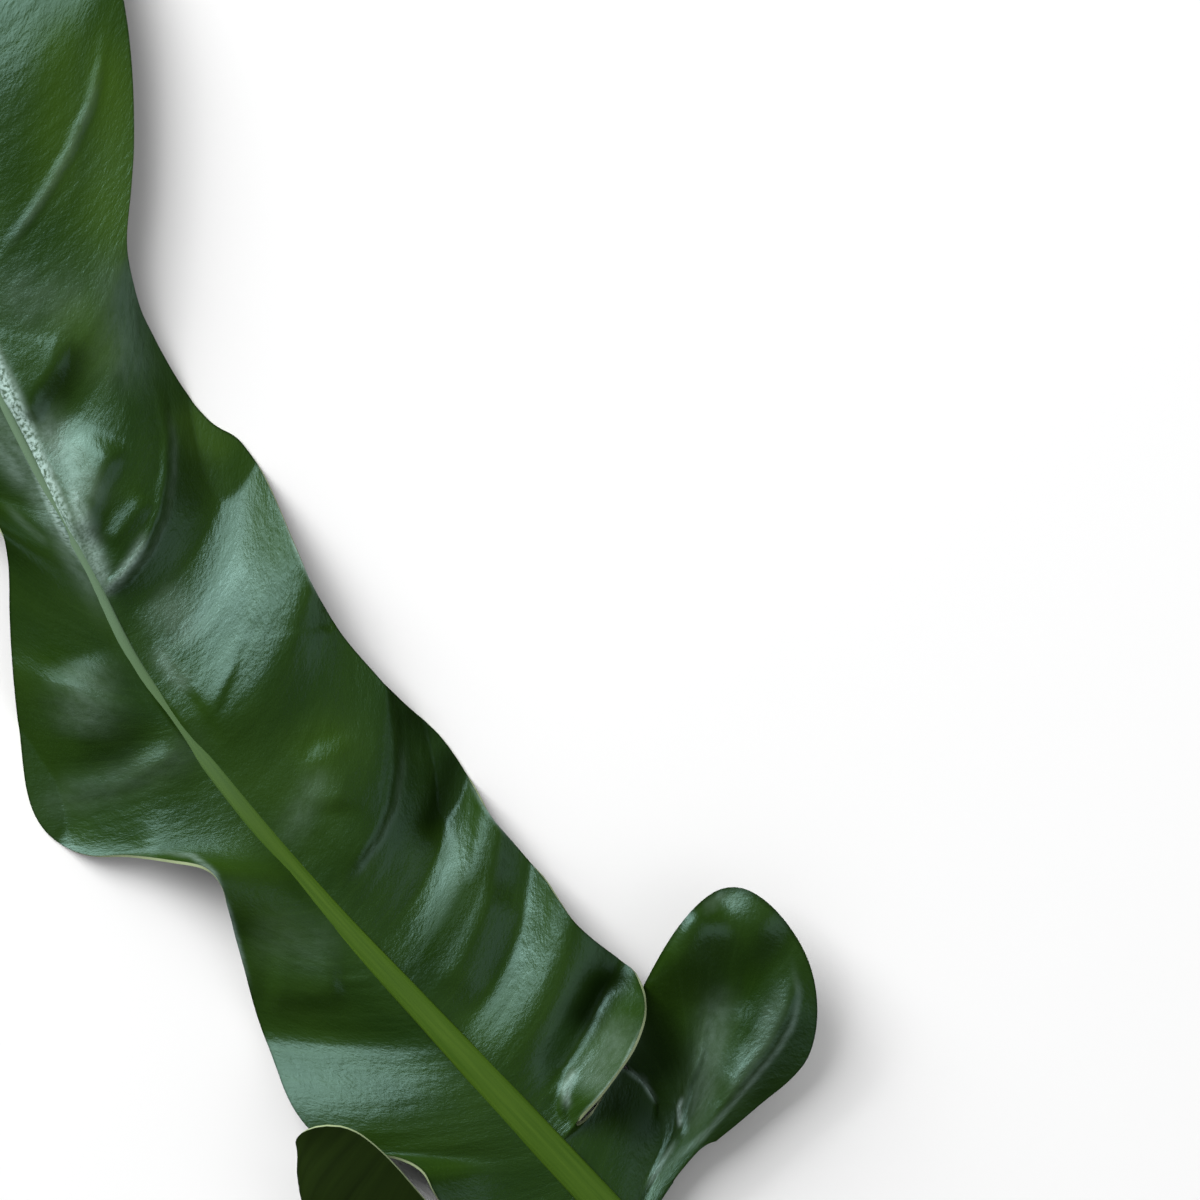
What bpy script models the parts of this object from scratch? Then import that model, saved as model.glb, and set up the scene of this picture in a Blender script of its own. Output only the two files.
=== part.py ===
"""Philodendron leaf, lying down: one waved strap blade with two basal lobes, its midrib and a cut stalk."""

import math

import bmesh
import bpy
import numpy as np
from mathutils import Vector

for old in list(bpy.data.objects):
    bpy.data.objects.remove(old, do_unlink=True)

# Driving sizes
PIXEL_SIZE = 0.28e-3
BLADE_THICKNESS = 0.8e-3
STALK_LENGTH = 0.110
STALK_RADIUS = 4.2e-3
VIEW_HEIGHT = 2.4
ORIGIN_SHIFT = np.array([0.20138, 0.02793])

# Places in the picture, in pixels
PICTURE_CENTRE = np.array([600.0, 600.0])
STALK_JOINT = np.array([632.0, 1236.0])
BLADE_TIP = np.array([-62.0, -450.0])

# Midrib: picture x, picture y, height of the blade over the floor in mm
MIDRIB = [
    (755, 1371, 6.0), (707, 1318, 8.5), (632, 1236, 12.0), (537, 1134, 13.5), (424, 1012, 13.0),
    (315, 894, 11.5), (222, 781, 10.5), (135, 663, 9.5), (87, 567, 9.0), (30, 458, 9.0), (-8, 380, 9.0),
    (-45, 290, 9.0), (-72, 180, 9.5), (-88, 60, 9.5), (-95, -70, 9.0), (-92, -200, 8.0), (-80, -330, 7.0),
    (-62, -450, 5.0),
]

# Right half: place of a side vein along the midrib in mm, its end on the margin in the picture,
# then heights in mm at the margin, two thirds out and one third out
RIGHT_BLADE = [
    (32.2, 570, 1128, 14.0, 13.2, 13.2),
    (35, 600, 1097, 17.0, 14.2, 13.0),
    (37, 620, 1069, 19.6, 15.0, 12.6),
    (38.5, 635, 1047, 20.6, 14.6, 12.2),
    (40, 645, 1030, 20.4, 13.4, 11.8),
    (42, 647, 1000, 16.5, 11.0, 11.2),
    (45, 642, 978, 10.5, 8.8, 11.0),
    (47, 633, 969, 8.0, 8.8, 11.4),
    (50, 620, 960, 8.0, 10.4, 12.4),
    (54, 600, 945, 11.6, 12.6, 13.6),
    (59, 578, 926, 14.0, 14.2, 14.4),
    (64, 561, 903, 12.8, 13.6, 13.9),
    (70, 546, 880, 9.2, 11.0, 11.9),
    (76, 529, 861, 6.0, 8.4, 10.0),
    (82, 515, 845, 6.6, 8.8, 10.6),
    (88, 501, 829, 8.4, 10.2, 11.6),
    (94, 487, 810, 7.8, 9.8, 11.2),
    (99, 477, 792, 4.2, 7.4, 9.8),
    (104, 464, 770, -1.0, 4.4, 8.4),
    (108, 455, 755, -4.6, 2.8, 7.8),
    (113, 438, 733, -2.0, 4.2, 8.6),
    (118.5, 412, 711, 2.6, 6.6, 9.6),
    (123, 400, 700, 5.4, 8.4, 10.6),
    (128, 391, 691, 7.4, 9.8, 11.4),
    (134, 382, 681, 8.6, 11.2, 12.2),
    (148, 350, 645, 9.0, 12.0, 12.4),
    (166, 328, 614, 11.0, 13.0, 12.6),
    (182, 309, 578, 14.2, 14.8, 13.8),
    (188, 300, 557, 13.4, 14.0, 13.0),
    (195, 290, 534, 11.4, 12.4, 11.4),
    (207, 272, 492, 6.0, 8.2, 8.8),
    (216, 258, 465, 0.6, 4.8, 6.8),
    (225, 236, 437, -5.0, 2.8, 6.0),
    (231, 215, 425, -3.6, 4.2, 7.4),
    (242, 180, 385, 2.0, 7.8, 10.6),
    (256, 150, 330, 7.0, 10.0, 11.6),
    (272, 138, 302, 9.6, 10.6, 9.4),
    (279, 133, 283, 11.0, 11.2, 8.2),
    (296, 127, 245, 13.0, 13.0, 11.4),
    (318, 132, 180, 13.2, 13.2, 12.4),
    (327, 134, 148, 13.3, 13.2, 12.4),
    (334, 134, 115, 13.4, 13.2, 12.4),
    (352, 130, 44, 14.0, 13.6, 12.6),
    (374, 118, -30, 14.4, 14.0, 13.0),
    (396, 105, -92, 10.6, 11.2, 11.2),
    (418, 88, -160, 3.0, 6.0, 7.6),
    (424, 82, -180, 8.0, 11.2, 11.0),
    (450, 55, -255, 9.0, 10.5, 10.0),
    (474, 22, -318, -5.0, 2.6, 6.0),
    (498, -14, -378, 6.5, 7.0, 7.0),
    (518, -42, -420, 3.4, 4.0, 4.6),
    (528, -56, -431, 3.0, 3.2, 3.4),
]

# Left half, in the same order
LEFT_BLADE = [
    (15, 562, 1222, 12.6, 12.8, 12.6),
    (16.5, 525, 1236, 13.4, 13.2, 12.8),
    (19, 492, 1238, 15.0, 13.4, 13.0),
    (22, 460, 1224, 18.0, 14.0, 13.4),
    (25, 436, 1201, 22.0, 14.4, 13.6),
    (29, 428, 1178, 23.0, 14.8, 14.0),
    (35, 404, 1160, 16.0, 14.0, 14.0),
    (43, 352, 1150, 13.0, 15.0, 14.8),
    (51, 309, 1129, 12.0, 14.8, 14.8),
    (58, 289, 1099, 9.6, 13.0, 14.2),
    (68, 273, 1058, 5.4, 9.0, 12.0),
    (78, 263, 1032, 3.6, 7.0, 10.2),
    (84, 257, 1014, 4.4, 7.8, 10.8),
    (98, 246, 974, 9.0, 11.0, 12.6),
    (114, 236, 938, 12.0, 13.0, 13.4),
    (128, 226, 903, 18.0, 16.2, 14.6),
    (137, 213, 872, 20.0, 17.6, 15.0),
    (144, 180, 864, 17.0, 15.6, 14.0),
    (151, 140, 857, 12.0, 13.0, 12.8),
    (158, 98, 857, 8.0, 10.6, 11.8),
    (165, 68, 849, 4.0, 8.0, 10.8),
    (172, 45, 830, -1.0, 5.4, 9.6),
    (180, 30, 798, -5.0, 3.4, 8.4),
    (188, 21, 740, -2.0, 3.6, 7.4),
    (195, 14, 680, 6.0, 9.8, 10.8),
    (210, 10, 620, 9.0, 10.4, 10.6),
    (226, 8, 560, 14.0, 12.6, 10.8),
    (238, 0, 530, 18.0, 14.4, 11.4),
    (247, -20, 506, 17.0, 13.4, 10.8),
    (254, -48, 486, 13.0, 11.0, 9.6),
    (261, -84, 470, 8.6, 8.8, 8.6),
    (267, -118, 456, 7.6, 10.0, 10.6),
    (278, -170, 424, 3.4, 8.6, 10.4),
    (292, -214, 376, -2.0, 4.8, 9.2),
    (308, -244, 330, -6.0, 3.2, 8.2),
    (324, -252, 250, 6.0, 10.6, 11.4),
    (342, -246, 170, 12.0, 13.0, 12.0),
    (362, -240, 100, 16.0, 14.0, 12.0),
    (382, -256, 30, 8.0, 9.0, 9.4),
    (390, -266, -20, 6.0, 10.0, 11.0),
    (412, -268, -100, -1.0, 5.0, 8.8),
    (436, -250, -180, -5.0, 3.0, 7.2),
    (460, -214, -260, 7.0, 9.0, 9.0),
    (486, -166, -335, 9.0, 8.4, 7.4),
    (508, -118, -396, 3.4, 4.6, 5.2),
    (528, -73, -431, 3.0, 3.2, 3.4),
]

# Lobes: place of the vein behind the joint in mm, then four places out to the margin,
# each picture x, picture y and height in mm
RIGHT_LOBE = [
    (30.5, 557, 1144, 13.1, 565, 1138, 12.9, 573, 1132, 12.7, 581, 1125, 12.5),
    (28, 568, 1145, 12.7, 577, 1133, 12.1, 587, 1120, 11.5, 597, 1107, 11.0),
    (24, 578, 1149, 12.4, 590, 1130, 11.4, 601, 1111, 10.6, 611, 1093, 10.0),
    (19, 592, 1156, 12.1, 604, 1130, 10.9, 615, 1103, 9.9, 625, 1077, 9.5),
    (14, 607, 1168, 11.8, 620, 1139, 10.2, 631, 1110, 9.2, 640, 1082, 9.2),
    (9, 621, 1180, 11.2, 634, 1150, 9.2, 644, 1122, 7.4, 652, 1095, 7.6),
    (5, 630, 1191, 10.8, 644, 1161, 8.2, 652, 1134, 6.0, 655, 1104, 6.4),
    (2.5, 636, 1196, 10.2, 652, 1161, 7.0, 661, 1134, 4.8, 657, 1104, 4.6),
    (0.5, 638.5, 1198, 9.8, 659, 1157, 6.2, 674, 1120, 4.2, 645, 1083, 4.4),
    (-1, 640.5, 1199, 9.5, 665, 1154, 5.6, 684, 1103, 4.6, 638, 1032, 6.6),
    (-2.1, 642, 1200, 9.3, 668, 1151, 5.6, 690, 1085, 5.8, 646, 981, 9.5),
    (-3, 643.5, 1200, 9.2, 671, 1148, 5.8, 695, 1066, 7.0, 673, 933, 16.0),
    (-3.8, 645, 1200, 9.2, 674, 1145, 6.2, 699, 1052, 8.0, 704, 894, 18.5),
    (-4.6, 646.2, 1200, 9.2, 678, 1141, 6.8, 709, 1040, 8.8, 735, 884, 18.5),
    (-5.4, 647.4, 1200, 9.3, 681, 1136, 7.4, 722, 1028, 11.2, 762, 896, 18.5),
    (-6.2, 648.5, 1200, 9.4, 686, 1134, 8.6, 742, 1022, 14.0, 790, 925, 19.0),
    (-7, 649.6, 1200, 9.6, 689, 1131, 9.4, 758, 1024, 16.0, 811, 962, 18.5),
    (-7.8, 650.6, 1200, 9.8, 693, 1134, 10.4, 764, 1038, 16.6, 818, 1000, 16.5),
    (-8.6, 651.6, 1200, 10.0, 696, 1138, 11.6, 757, 1064, 16.0, 815, 1042, 12.5),
    (-9.4, 652.5, 1200, 10.0, 697, 1143, 12.0, 750, 1084, 14.6, 800, 1073, 11.0),
    (-10.2, 654.4, 1202.5, 10.0, 695, 1150, 12.0, 734, 1107, 13.6, 768, 1098, 10.4),
    (-11, 655.4, 1205, 10.0, 690, 1158, 11.6, 718, 1130, 12.4, 741, 1130, 9.8),
    (-11.8, 656, 1208, 10.0, 681, 1171, 11.0, 699, 1155, 11.0, 712, 1149, 9.4),
    (-12.6, 656, 1211, 10.0, 668, 1189, 10.4, 677, 1177, 9.8, 684, 1169, 8.6),
    (-13.3, 655, 1215, 10.2, 658, 1205, 10.0, 661, 1197, 9.6, 664, 1190, 9.2),
    (-14, 652, 1231, 10.6, 655, 1224, 10.2, 657, 1217, 9.8, 658, 1210, 9.4),
]

LEFT_LOBE = [
    (13.5, 588, 1208, 12.0, 578, 1218, 11.4, 567, 1227, 10.6, 556, 1235, 10.0),
    (11, 587, 1217, 11.6, 570, 1229, 10.4, 552, 1240, 9.2, 530, 1250, 8.2),
    (8.5, 587, 1225, 11.2, 561, 1240, 9.4, 533, 1252, 7.6, 503, 1257, 6.4),
    (6, 587, 1233, 10.6, 549, 1251, 8.0, 506, 1262, 5.6, 465, 1253, 4.8),
    (4, 586, 1240, 10.0, 536, 1258, 6.4, 472, 1265, 3.6, 428, 1238, 3.4),
    (2, 585, 1246, 9.5, 518, 1264, 5.2, 433, 1263, 2.4, 392, 1217, 3.0),
    (0.5, 584, 1251, 9.0, 500, 1269, 4.2, 399, 1256, 1.7, 359, 1197, 4.0),
    (-1, 583, 1256, 8.6, 482, 1273, 3.4, 371, 1248, 1.4, 332, 1176, 6.5),
    (-2.2, 583, 1261, 8.3, 464, 1276, 2.8, 348, 1239, 1.6, 312, 1159, 11.0),
    (-3.4, 583, 1265, 8.1, 446, 1279, 2.4, 322, 1226, 3.2, 297, 1147, 18.0),
    (-4.6, 583, 1269, 7.8, 428, 1282, 2.0, 298, 1214, 7.6, 300, 1133, 26.0),
    (-5.2, 583.5, 1272, 7.7, 418, 1284, 1.9, 285, 1204, 10.6, 311, 1126, 29.5),
    (-5.8, 584, 1275, 7.6, 409, 1286, 1.8, 277, 1196, 14.0, 335, 1124, 31.5),
    (-7, 585, 1279, 7.6, 402, 1290, 2.0, 287, 1234, 16.5, 366, 1138, 32.0),
    (-8.2, 586, 1283, 7.6, 406, 1297, 2.4, 333, 1271, 17.0, 395, 1165, 31.0),
    (-9.4, 588, 1286, 7.6, 426, 1302, 3.5, 378, 1292, 17.0, 418, 1192, 29.0),
    (-10.4, 590, 1288, 7.8, 454, 1305, 4.8, 418, 1302, 15.5, 446, 1222, 25.0),
    (-11.4, 592, 1289, 8.0, 488, 1307, 6.2, 462, 1306, 13.5, 482, 1250, 20.0),
    (-12.6, 598, 1289, 8.4, 530, 1306, 7.4, 508, 1305, 11.5, 520, 1274, 15.0),
    (-14, 612, 1285, 9.2, 584, 1299, 8.8, 566, 1300, 9.8, 562, 1288, 10.6),
]

# Half width of the midrib and stalk in mm at places along it in mm
RIB_WIDTH = [(-30, 4.3), (0, 4.7), (40, 4.5), (90, 3.5), (150, 2.6), (220, 1.6), (300, 1.2), (540, 0.8)]


def through(knots, values, places, keep_between=True):
    """Smooth curve through values at knots, without overshoot where keep_between holds."""
    knots = np.asarray(knots, float)
    values = np.asarray(values, float).reshape(len(knots), -1)
    gaps = np.diff(knots)[:, None]
    steps = np.diff(values, axis=0) / gaps
    low, high = steps[:-1], steps[1:]
    if keep_between:
        same = low * high > 0
        inner = np.where(same, 2 * low * high / np.where(same, low + high, 1.0), 0.0)
    else:
        inner = (low * gaps[1:] + high * gaps[:-1]) / (gaps[:-1] + gaps[1:])
    slopes = np.concatenate([steps[:1], inner, steps[-1:]])
    places = np.clip(np.asarray(places, float), knots[0], knots[-1])
    i = np.clip(np.searchsorted(knots, places) - 1, 0, len(knots) - 2)
    u = ((places - knots[i]) / gaps[i, 0])[:, None]
    return (
        (2 * u**3 - 3 * u**2 + 1) * values[i]
        + (u**3 - 2 * u**2 + u) * gaps[i] * slopes[i]
        + (3 * u**2 - 2 * u**3) * values[i + 1]
        + (u**3 - u**2) * gaps[i] * slopes[i + 1]
    )


CHORD = (BLADE_TIP - STALK_JOINT) / np.linalg.norm(BLADE_TIP - STALK_JOINT)
SIDE = np.array([CHORD[1], -CHORD[0]])


def to_leaf(x, y, height_mm):
    """Point in metres that the picture shows at pixel x, y. +X runs to the tip, +Y to the left."""
    height = np.asarray(height_mm, float) * 1e-3
    pixel = np.stack([np.asarray(x, float), np.asarray(y, float)], -1)
    pixel = PICTURE_CENTRE + (pixel - PICTURE_CENTRE) * (1 - height / VIEW_HEIGHT)[..., None]
    flat = (pixel - STALK_JOINT) * PIXEL_SIZE
    return np.stack([flat @ CHORD, flat @ SIDE, height], -1)


rib_points = to_leaf(*np.array(MIDRIB, float).T)
rib_steps = np.linalg.norm(np.diff(rib_points[:, :2], axis=0), axis=1)
rib_arc = np.concatenate([[0], np.cumsum(rib_steps)])
rib_arc = (rib_arc - rib_arc[2]) * 1e3


def on_midrib(places_mm):
    """Point, direction and left side direction of the midrib at places along it."""
    places = np.atleast_1d(np.asarray(places_mm, float))
    point = through(rib_arc, rib_points, places, False)
    ahead = through(rib_arc, rib_points, places + 1, False)
    ahead = ahead - through(rib_arc, rib_points, places - 1, False)
    ahead[:, 2] = 0
    ahead /= np.linalg.norm(ahead, axis=1)[:, None]
    return point, ahead, np.stack([-ahead[:, 1], ahead[:, 0], 0 * ahead[:, 0]], -1)


def vein_start(places_mm):
    """Where veins leave the midrib: behind the joint they crowd together."""
    return np.where(places_mm < 0, 0.4 * places_mm, places_mm)


def blade_rows(table, bend):
    """Five points along every side vein of a blade half, from the midrib to the margin."""
    table = np.array(table, float)
    start, ahead, aside = on_midrib(table[:, 0])
    margin = to_leaf(table[:, 1], table[:, 2], table[:, 3])
    reach = margin - start
    forward = (reach * ahead).sum(1)[:, None]
    outward = (reach * aside).sum(1)[:, None]
    rows = []
    for t in (0.0, 0.25, 0.5, 0.75, 1.0):
        place = start + ahead * forward * t**bend + aside * outward * t
        heights = np.stack([start[:, 2] * 1e3, table[:, 5], table[:, 4], table[:, 3]])
        place[:, 2] = through([0, 1 / 3, 2 / 3, 1], heights, [t], False)[0] * 1e-3
        rows.append(place)
    return table[:, 0], np.stack(rows, 1)


def lobe_rows(table):
    """Five points along every vein of a lobe."""
    table = np.array(table, float)
    start = on_midrib(vein_start(table[:, 0]))[0]
    rows = [start] + [to_leaf(*table[:, k:k + 3].T) for k in (1, 4, 7, 10)]
    return table[:, 0], np.stack(rows, 1)


def half_net(blade, lobe, bend):
    """Places along the midrib and five points out from each, over lobe and blade."""
    blade_places, blade_points = blade_rows(blade, bend)
    lobe_places, lobe_points = lobe_rows(lobe)
    return (
        np.concatenate([lobe_places[::-1], blade_places]),
        np.concatenate([lobe_points[::-1], blade_points]),
    )


def sheet(net, columns, rows):
    """Middle surface of a half on the given places along the midrib and outward."""
    places, points = net
    flat = points.reshape(len(places), 5, 3)
    grid = np.empty((len(columns), 5, 3))
    for k in range(5):
        grid[:, k, :2] = through(places, flat[:, k, :2], columns, False)
        grid[:, k, 2:] = through(places, flat[:, k, 2:], columns, True)
    grid[:, 0] = on_midrib(vein_start(columns))[0]
    across = through([0, 0.25, 0.5, 0.75, 1.0], grid.transpose(1, 0, 2).reshape(5, -1), rows, False)
    return across.reshape(len(rows), len(columns), 3).transpose(1, 0, 2)


def eased(grid, columns):
    """Evens out the points of the lobes and of the narrow waist; the midrib stays where it is."""
    weight = np.where((columns < 46) | ((columns > 243) & (columns < 272)), 0.6, 0.0)[1:-1, None, None]
    for _ in range(2):
        around = grid[2:, 1:-1] + grid[:-2, 1:-1] + grid[1:-1, 2:] + grid[1:-1, :-2]
        grid[1:-1, 1:-1] += weight * (around / 4 - grid[1:-1, 1:-1])
    edge = grid[:, -1].copy()
    grid[1:-1, -1] += 0.8 * weight[:, 0] * ((edge[2:] + edge[:-2]) / 2 - edge[1:-1])
    return grid


def make_solid(name, points, faces, material):
    """Object from points and faces."""
    mesh = bpy.data.meshes.new(name)
    mesh.from_pydata([tuple(p) for p in points], [], faces)
    mesh.materials.append(material)
    body = bpy.data.objects.new(name, mesh)
    bpy.context.collection.objects.link(body)
    return body


# Material
leaf_green = bpy.data.materials.new("leaf")
leaf_green.use_nodes = True
shade = leaf_green.node_tree.nodes["Principled BSDF"]
shade.inputs["Base Color"].default_value = (0.055, 0.12, 0.025, 1.0)
shade.inputs["Roughness"].default_value = 0.35

# Columns of the blade: close together on the lobes and on both sides of every fold
right_net = half_net(RIGHT_BLADE, RIGHT_LOBE, 2.3)
left_net = half_net(LEFT_BLADE, LEFT_LOBE, 1.25)
columns = [
    np.arange(-11.4, 0, 0.6), np.arange(0, 19, 2.0),
    [21, 24, 27, 29, 30.5, 32, 33.6, 35, 37, 38.5, 40, 42.5],
    np.arange(45, 76, 5.0), [78, 81, 84, 88, 92, 96, 99, 102, 105, 108, 111, 114, 118, 122, 127],
    np.arange(132, 188, 7.0), [188, 191.5, 195], np.arange(201, 225, 6.0), [225, 227, 229, 231, 235],
    [240, 245, 250, 255, 260, 264, 268, 272, 275.5, 279, 285], np.arange(292, 325, 7.0),
    [327, 330.5, 334, 341], np.arange(350, 382, 8.0), [382, 386, 390], np.arange(399, 418, 9.0),
    [418, 421, 424], np.arange(433, 525, 9.5), [528],
]
columns = np.unique(np.concatenate(columns))
rows = np.array([0, 0.12, 0.26, 0.41, 0.56, 0.71, 0.86, 1.0])
right = eased(sheet(right_net, columns, rows), columns)
left = eased(sheet(left_net, columns, rows), columns)
left[:, 0] = right[:, 0]
middle = np.concatenate([right[:, ::-1], left[:, 1:]], 1)

# Thickness along the surface normal, kept over the floor
middle[..., 2] = np.maximum(middle[..., 2], 0.45e-3)
along = np.gradient(middle, axis=0)
across = np.gradient(middle, axis=1)
normal = np.cross(along, across)
normal /= np.linalg.norm(normal, axis=2)[..., None]
normal[-2:] = (0, 0, 1)
top = middle + normal * BLADE_THICKNESS / 2
under = middle - normal * BLADE_THICKNESS / 2
under[..., 2] = np.where(under[..., 2] < 0.15e-3, 0, under[..., 2])

count_q, count_t = middle.shape[:2]
size = count_q * count_t
points = np.concatenate([top.reshape(-1, 3), under.reshape(-1, 3)])
points[:, :2] -= ORIGIN_SHIFT


def at(i, j):
    return i * count_t + j


faces = []
for i in range(count_q - 1):
    for j in range(count_t - 1):
        a, b, c, d = at(i, j), at(i + 1, j), at(i + 1, j + 1), at(i, j + 1)
        faces += [(a, b, c), (a, c, d)]
        faces += [(a + size, c + size, b + size), (a + size, d + size, c + size)]
border = [at(i, 0) for i in range(count_q)] + [at(count_q - 1, j) for j in range(1, count_t)]
border += [at(i, count_t - 1) for i in range(count_q - 2, -1, -1)]
border += [at(0, j) for j in range(count_t - 2, 0, -1)]
for a, b in zip(border, border[1:] + border[:1]):
    faces += [(a, a + size, b + size), (a, b + size, b)]
leaf = make_solid("leaf", points, faces, leaf_green)

# Midrib and stalk as one tapered rod under the middle of the blade
rod_places = np.concatenate([np.arange(-30, 300, 8.0), np.arange(300, 530, 14.0), [532]])
width = through([k for k, _ in RIB_WIDTH], [w for _, w in RIB_WIDTH], rod_places)[:, 0] * 1e-3
centre, ahead, aside = on_midrib(rod_places)
stalk_ahead = ahead[0]
stalk_steps = np.array([1.0, 0.66, 0.33])
stalk_centre = centre[0] - stalk_ahead * (STALK_LENGTH - 0.03) * stalk_steps[:, None]
stalk_drop = through([0, 0.5, 1], [STALK_RADIUS, STALK_RADIUS, centre[0, 2]], 1 - stalk_steps)[:, 0]
stalk_centre[:, 2] = np.minimum(stalk_drop, centre[0, 2]) - 0.1e-3
centre = np.concatenate([stalk_centre, centre])
ahead = np.concatenate([np.repeat(ahead[:1], 3, 0), ahead])
aside = np.concatenate([np.repeat(aside[:1], 3, 0), aside])
width = np.concatenate([np.full(3, STALK_RADIUS), width])
sides = 10
ring = []
for k in range(sides):
    turn = 2 * math.pi * (k + 0.5) / sides
    ring.append(centre + aside * (width * math.cos(turn))[:, None])
    ring[-1][:, 2] += width * (math.sin(turn) * 0.64 - 0.3)
rod = np.stack(ring, 1)
rod[..., 2] = np.maximum(rod[..., 2], 0)
rod_points = rod.reshape(-1, 3)
rod_points[:, :2] -= ORIGIN_SHIFT
rod_faces = [tuple(range(sides - 1, -1, -1))]
rod_faces.append(tuple(range(len(rod_points) - sides, len(rod_points))))
for i in range(len(centre) - 1):
    for k in range(sides):
        a, b = i * sides + k, i * sides + (k + 1) % sides
        rod_faces.append((a, b, b + sides, a + sides))
rod_body = make_solid("rod", rod_points, rod_faces, leaf_green)
for body in (leaf, rod_body):
    work = bmesh.new()
    work.from_mesh(body.data)
    bmesh.ops.recalc_face_normals(work, faces=work.faces)
    work.to_mesh(body.data)
    work.free()

join = leaf.modifiers.new("with midrib", "BOOLEAN")
join.operation = "UNION"
join.solver = "MANIFOLD"
join.object = rod_body
rod_body.hide_render = True
rod_body.display_type = "WIRE"
bpy.context.view_layer.update()
shaped = bpy.data.meshes.new_from_object(leaf.evaluated_get(bpy.context.evaluated_depsgraph_get()))
leaf.modifiers.clear()
leaf.data = shaped
leaf.data.name = "leaf"
bpy.data.objects.remove(rod_body, do_unlink=True)
box = [leaf.matrix_world @ Vector(corner) for corner in leaf.bound_box]
print("low", [round(min(c[k] for c in box), 5) for k in range(3)])
print("high", [round(max(c[k] for c in box), 5) for k in range(3)])
print("triangles", sum(len(p.vertices) - 2 for p in leaf.data.polygons))
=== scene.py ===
# %% [markdown]
# # A philodendron leaf lying on a pale floor
# The leaf is one long waved blade with two curled lobes at its base, a pale midrib and a cut stalk. The
# measured part is loaded first and stays as it is. Everything made here is laid over it and takes its looks
# from it: a finer blade, the midrib, the side veins, the pale margin and the finishes.

# %% Load the measured part
import math

import bpy
import numpy as np
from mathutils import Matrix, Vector, noise


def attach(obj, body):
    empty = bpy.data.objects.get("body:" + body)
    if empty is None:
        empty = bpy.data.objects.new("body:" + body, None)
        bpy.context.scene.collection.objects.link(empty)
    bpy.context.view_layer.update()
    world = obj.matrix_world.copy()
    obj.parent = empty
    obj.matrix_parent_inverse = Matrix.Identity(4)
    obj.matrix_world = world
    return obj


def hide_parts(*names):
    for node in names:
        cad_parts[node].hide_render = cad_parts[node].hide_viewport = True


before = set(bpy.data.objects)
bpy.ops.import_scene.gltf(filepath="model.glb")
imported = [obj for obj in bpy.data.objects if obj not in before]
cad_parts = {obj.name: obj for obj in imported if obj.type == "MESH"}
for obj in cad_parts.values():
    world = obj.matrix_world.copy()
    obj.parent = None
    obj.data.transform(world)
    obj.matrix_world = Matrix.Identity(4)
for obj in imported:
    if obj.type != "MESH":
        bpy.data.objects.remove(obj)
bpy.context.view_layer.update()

# %% [markdown]
# ## Sizes
# The picture gives pixels and the leaf needs metres, so one pixel size ties them together. A point of the
# leaf that stands above the floor looks a little further from the middle of the picture than it is, and the
# camera height corrects for that. The origin is the middle of the part's box.

# %% Sizes and places
PIXEL_SIZE = 0.28e-3
BLADE_THICKNESS = 0.8e-3
STALK_LENGTH = 0.110
STALK_RADIUS = 4.2e-3
CAMERA_HEIGHT = 2.4
ORIGIN_SHIFT = np.array([0.20138, 0.02793])
PICTURE_CENTRE = np.array([600.0, 600.0])
PICTURE_WIDTH = 1200
STALK_JOINT = np.array([632.0, 1236.0])
BLADE_TIP = np.array([-62.0, -450.0])
CHORD = (BLADE_TIP - STALK_JOINT) / np.linalg.norm(BLADE_TIP - STALK_JOINT)
SIDE = np.array([CHORD[1], -CHORD[0]])
blade_length = np.linalg.norm(BLADE_TIP - STALK_JOINT) * PIXEL_SIZE
print("pixel", PIXEL_SIZE, "m, blade", round(blade_length, 3), "m long")

# %% [markdown]
# ## Where the leaf runs
# A leaf is easiest to describe as its grower would: the midrib first, then side veins that leave it and end
# on the margin. Each bracket below is one such vein, with the height of the blade at the margin, two thirds
# out and one third out. Waves of the margin are nothing but veins that end higher or lower than their
# neighbours. Sculpting the waves by hand would also do, but veins can be checked one by one against the
# real leaf.

# %% The midrib
# picture x, picture y, height in mm
MIDRIB = [
    (755, 1371, 6), (707, 1318, 8.5), (632, 1236, 12), (537, 1134, 13.5), (424, 1012, 13),
    (315, 894, 11.5), (222, 781, 10.5), (135, 663, 9.5), (87, 567, 9), (30, 458, 9), (-8, 380, 9),
    (-45, 290, 9), (-72, 180, 9.5), (-88, 60, 9.5), (-95, -70, 9), (-92, -200, 8), (-80, -330, 7),
    (-62, -450, 5),
]
print(len(MIDRIB), "points")

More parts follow.
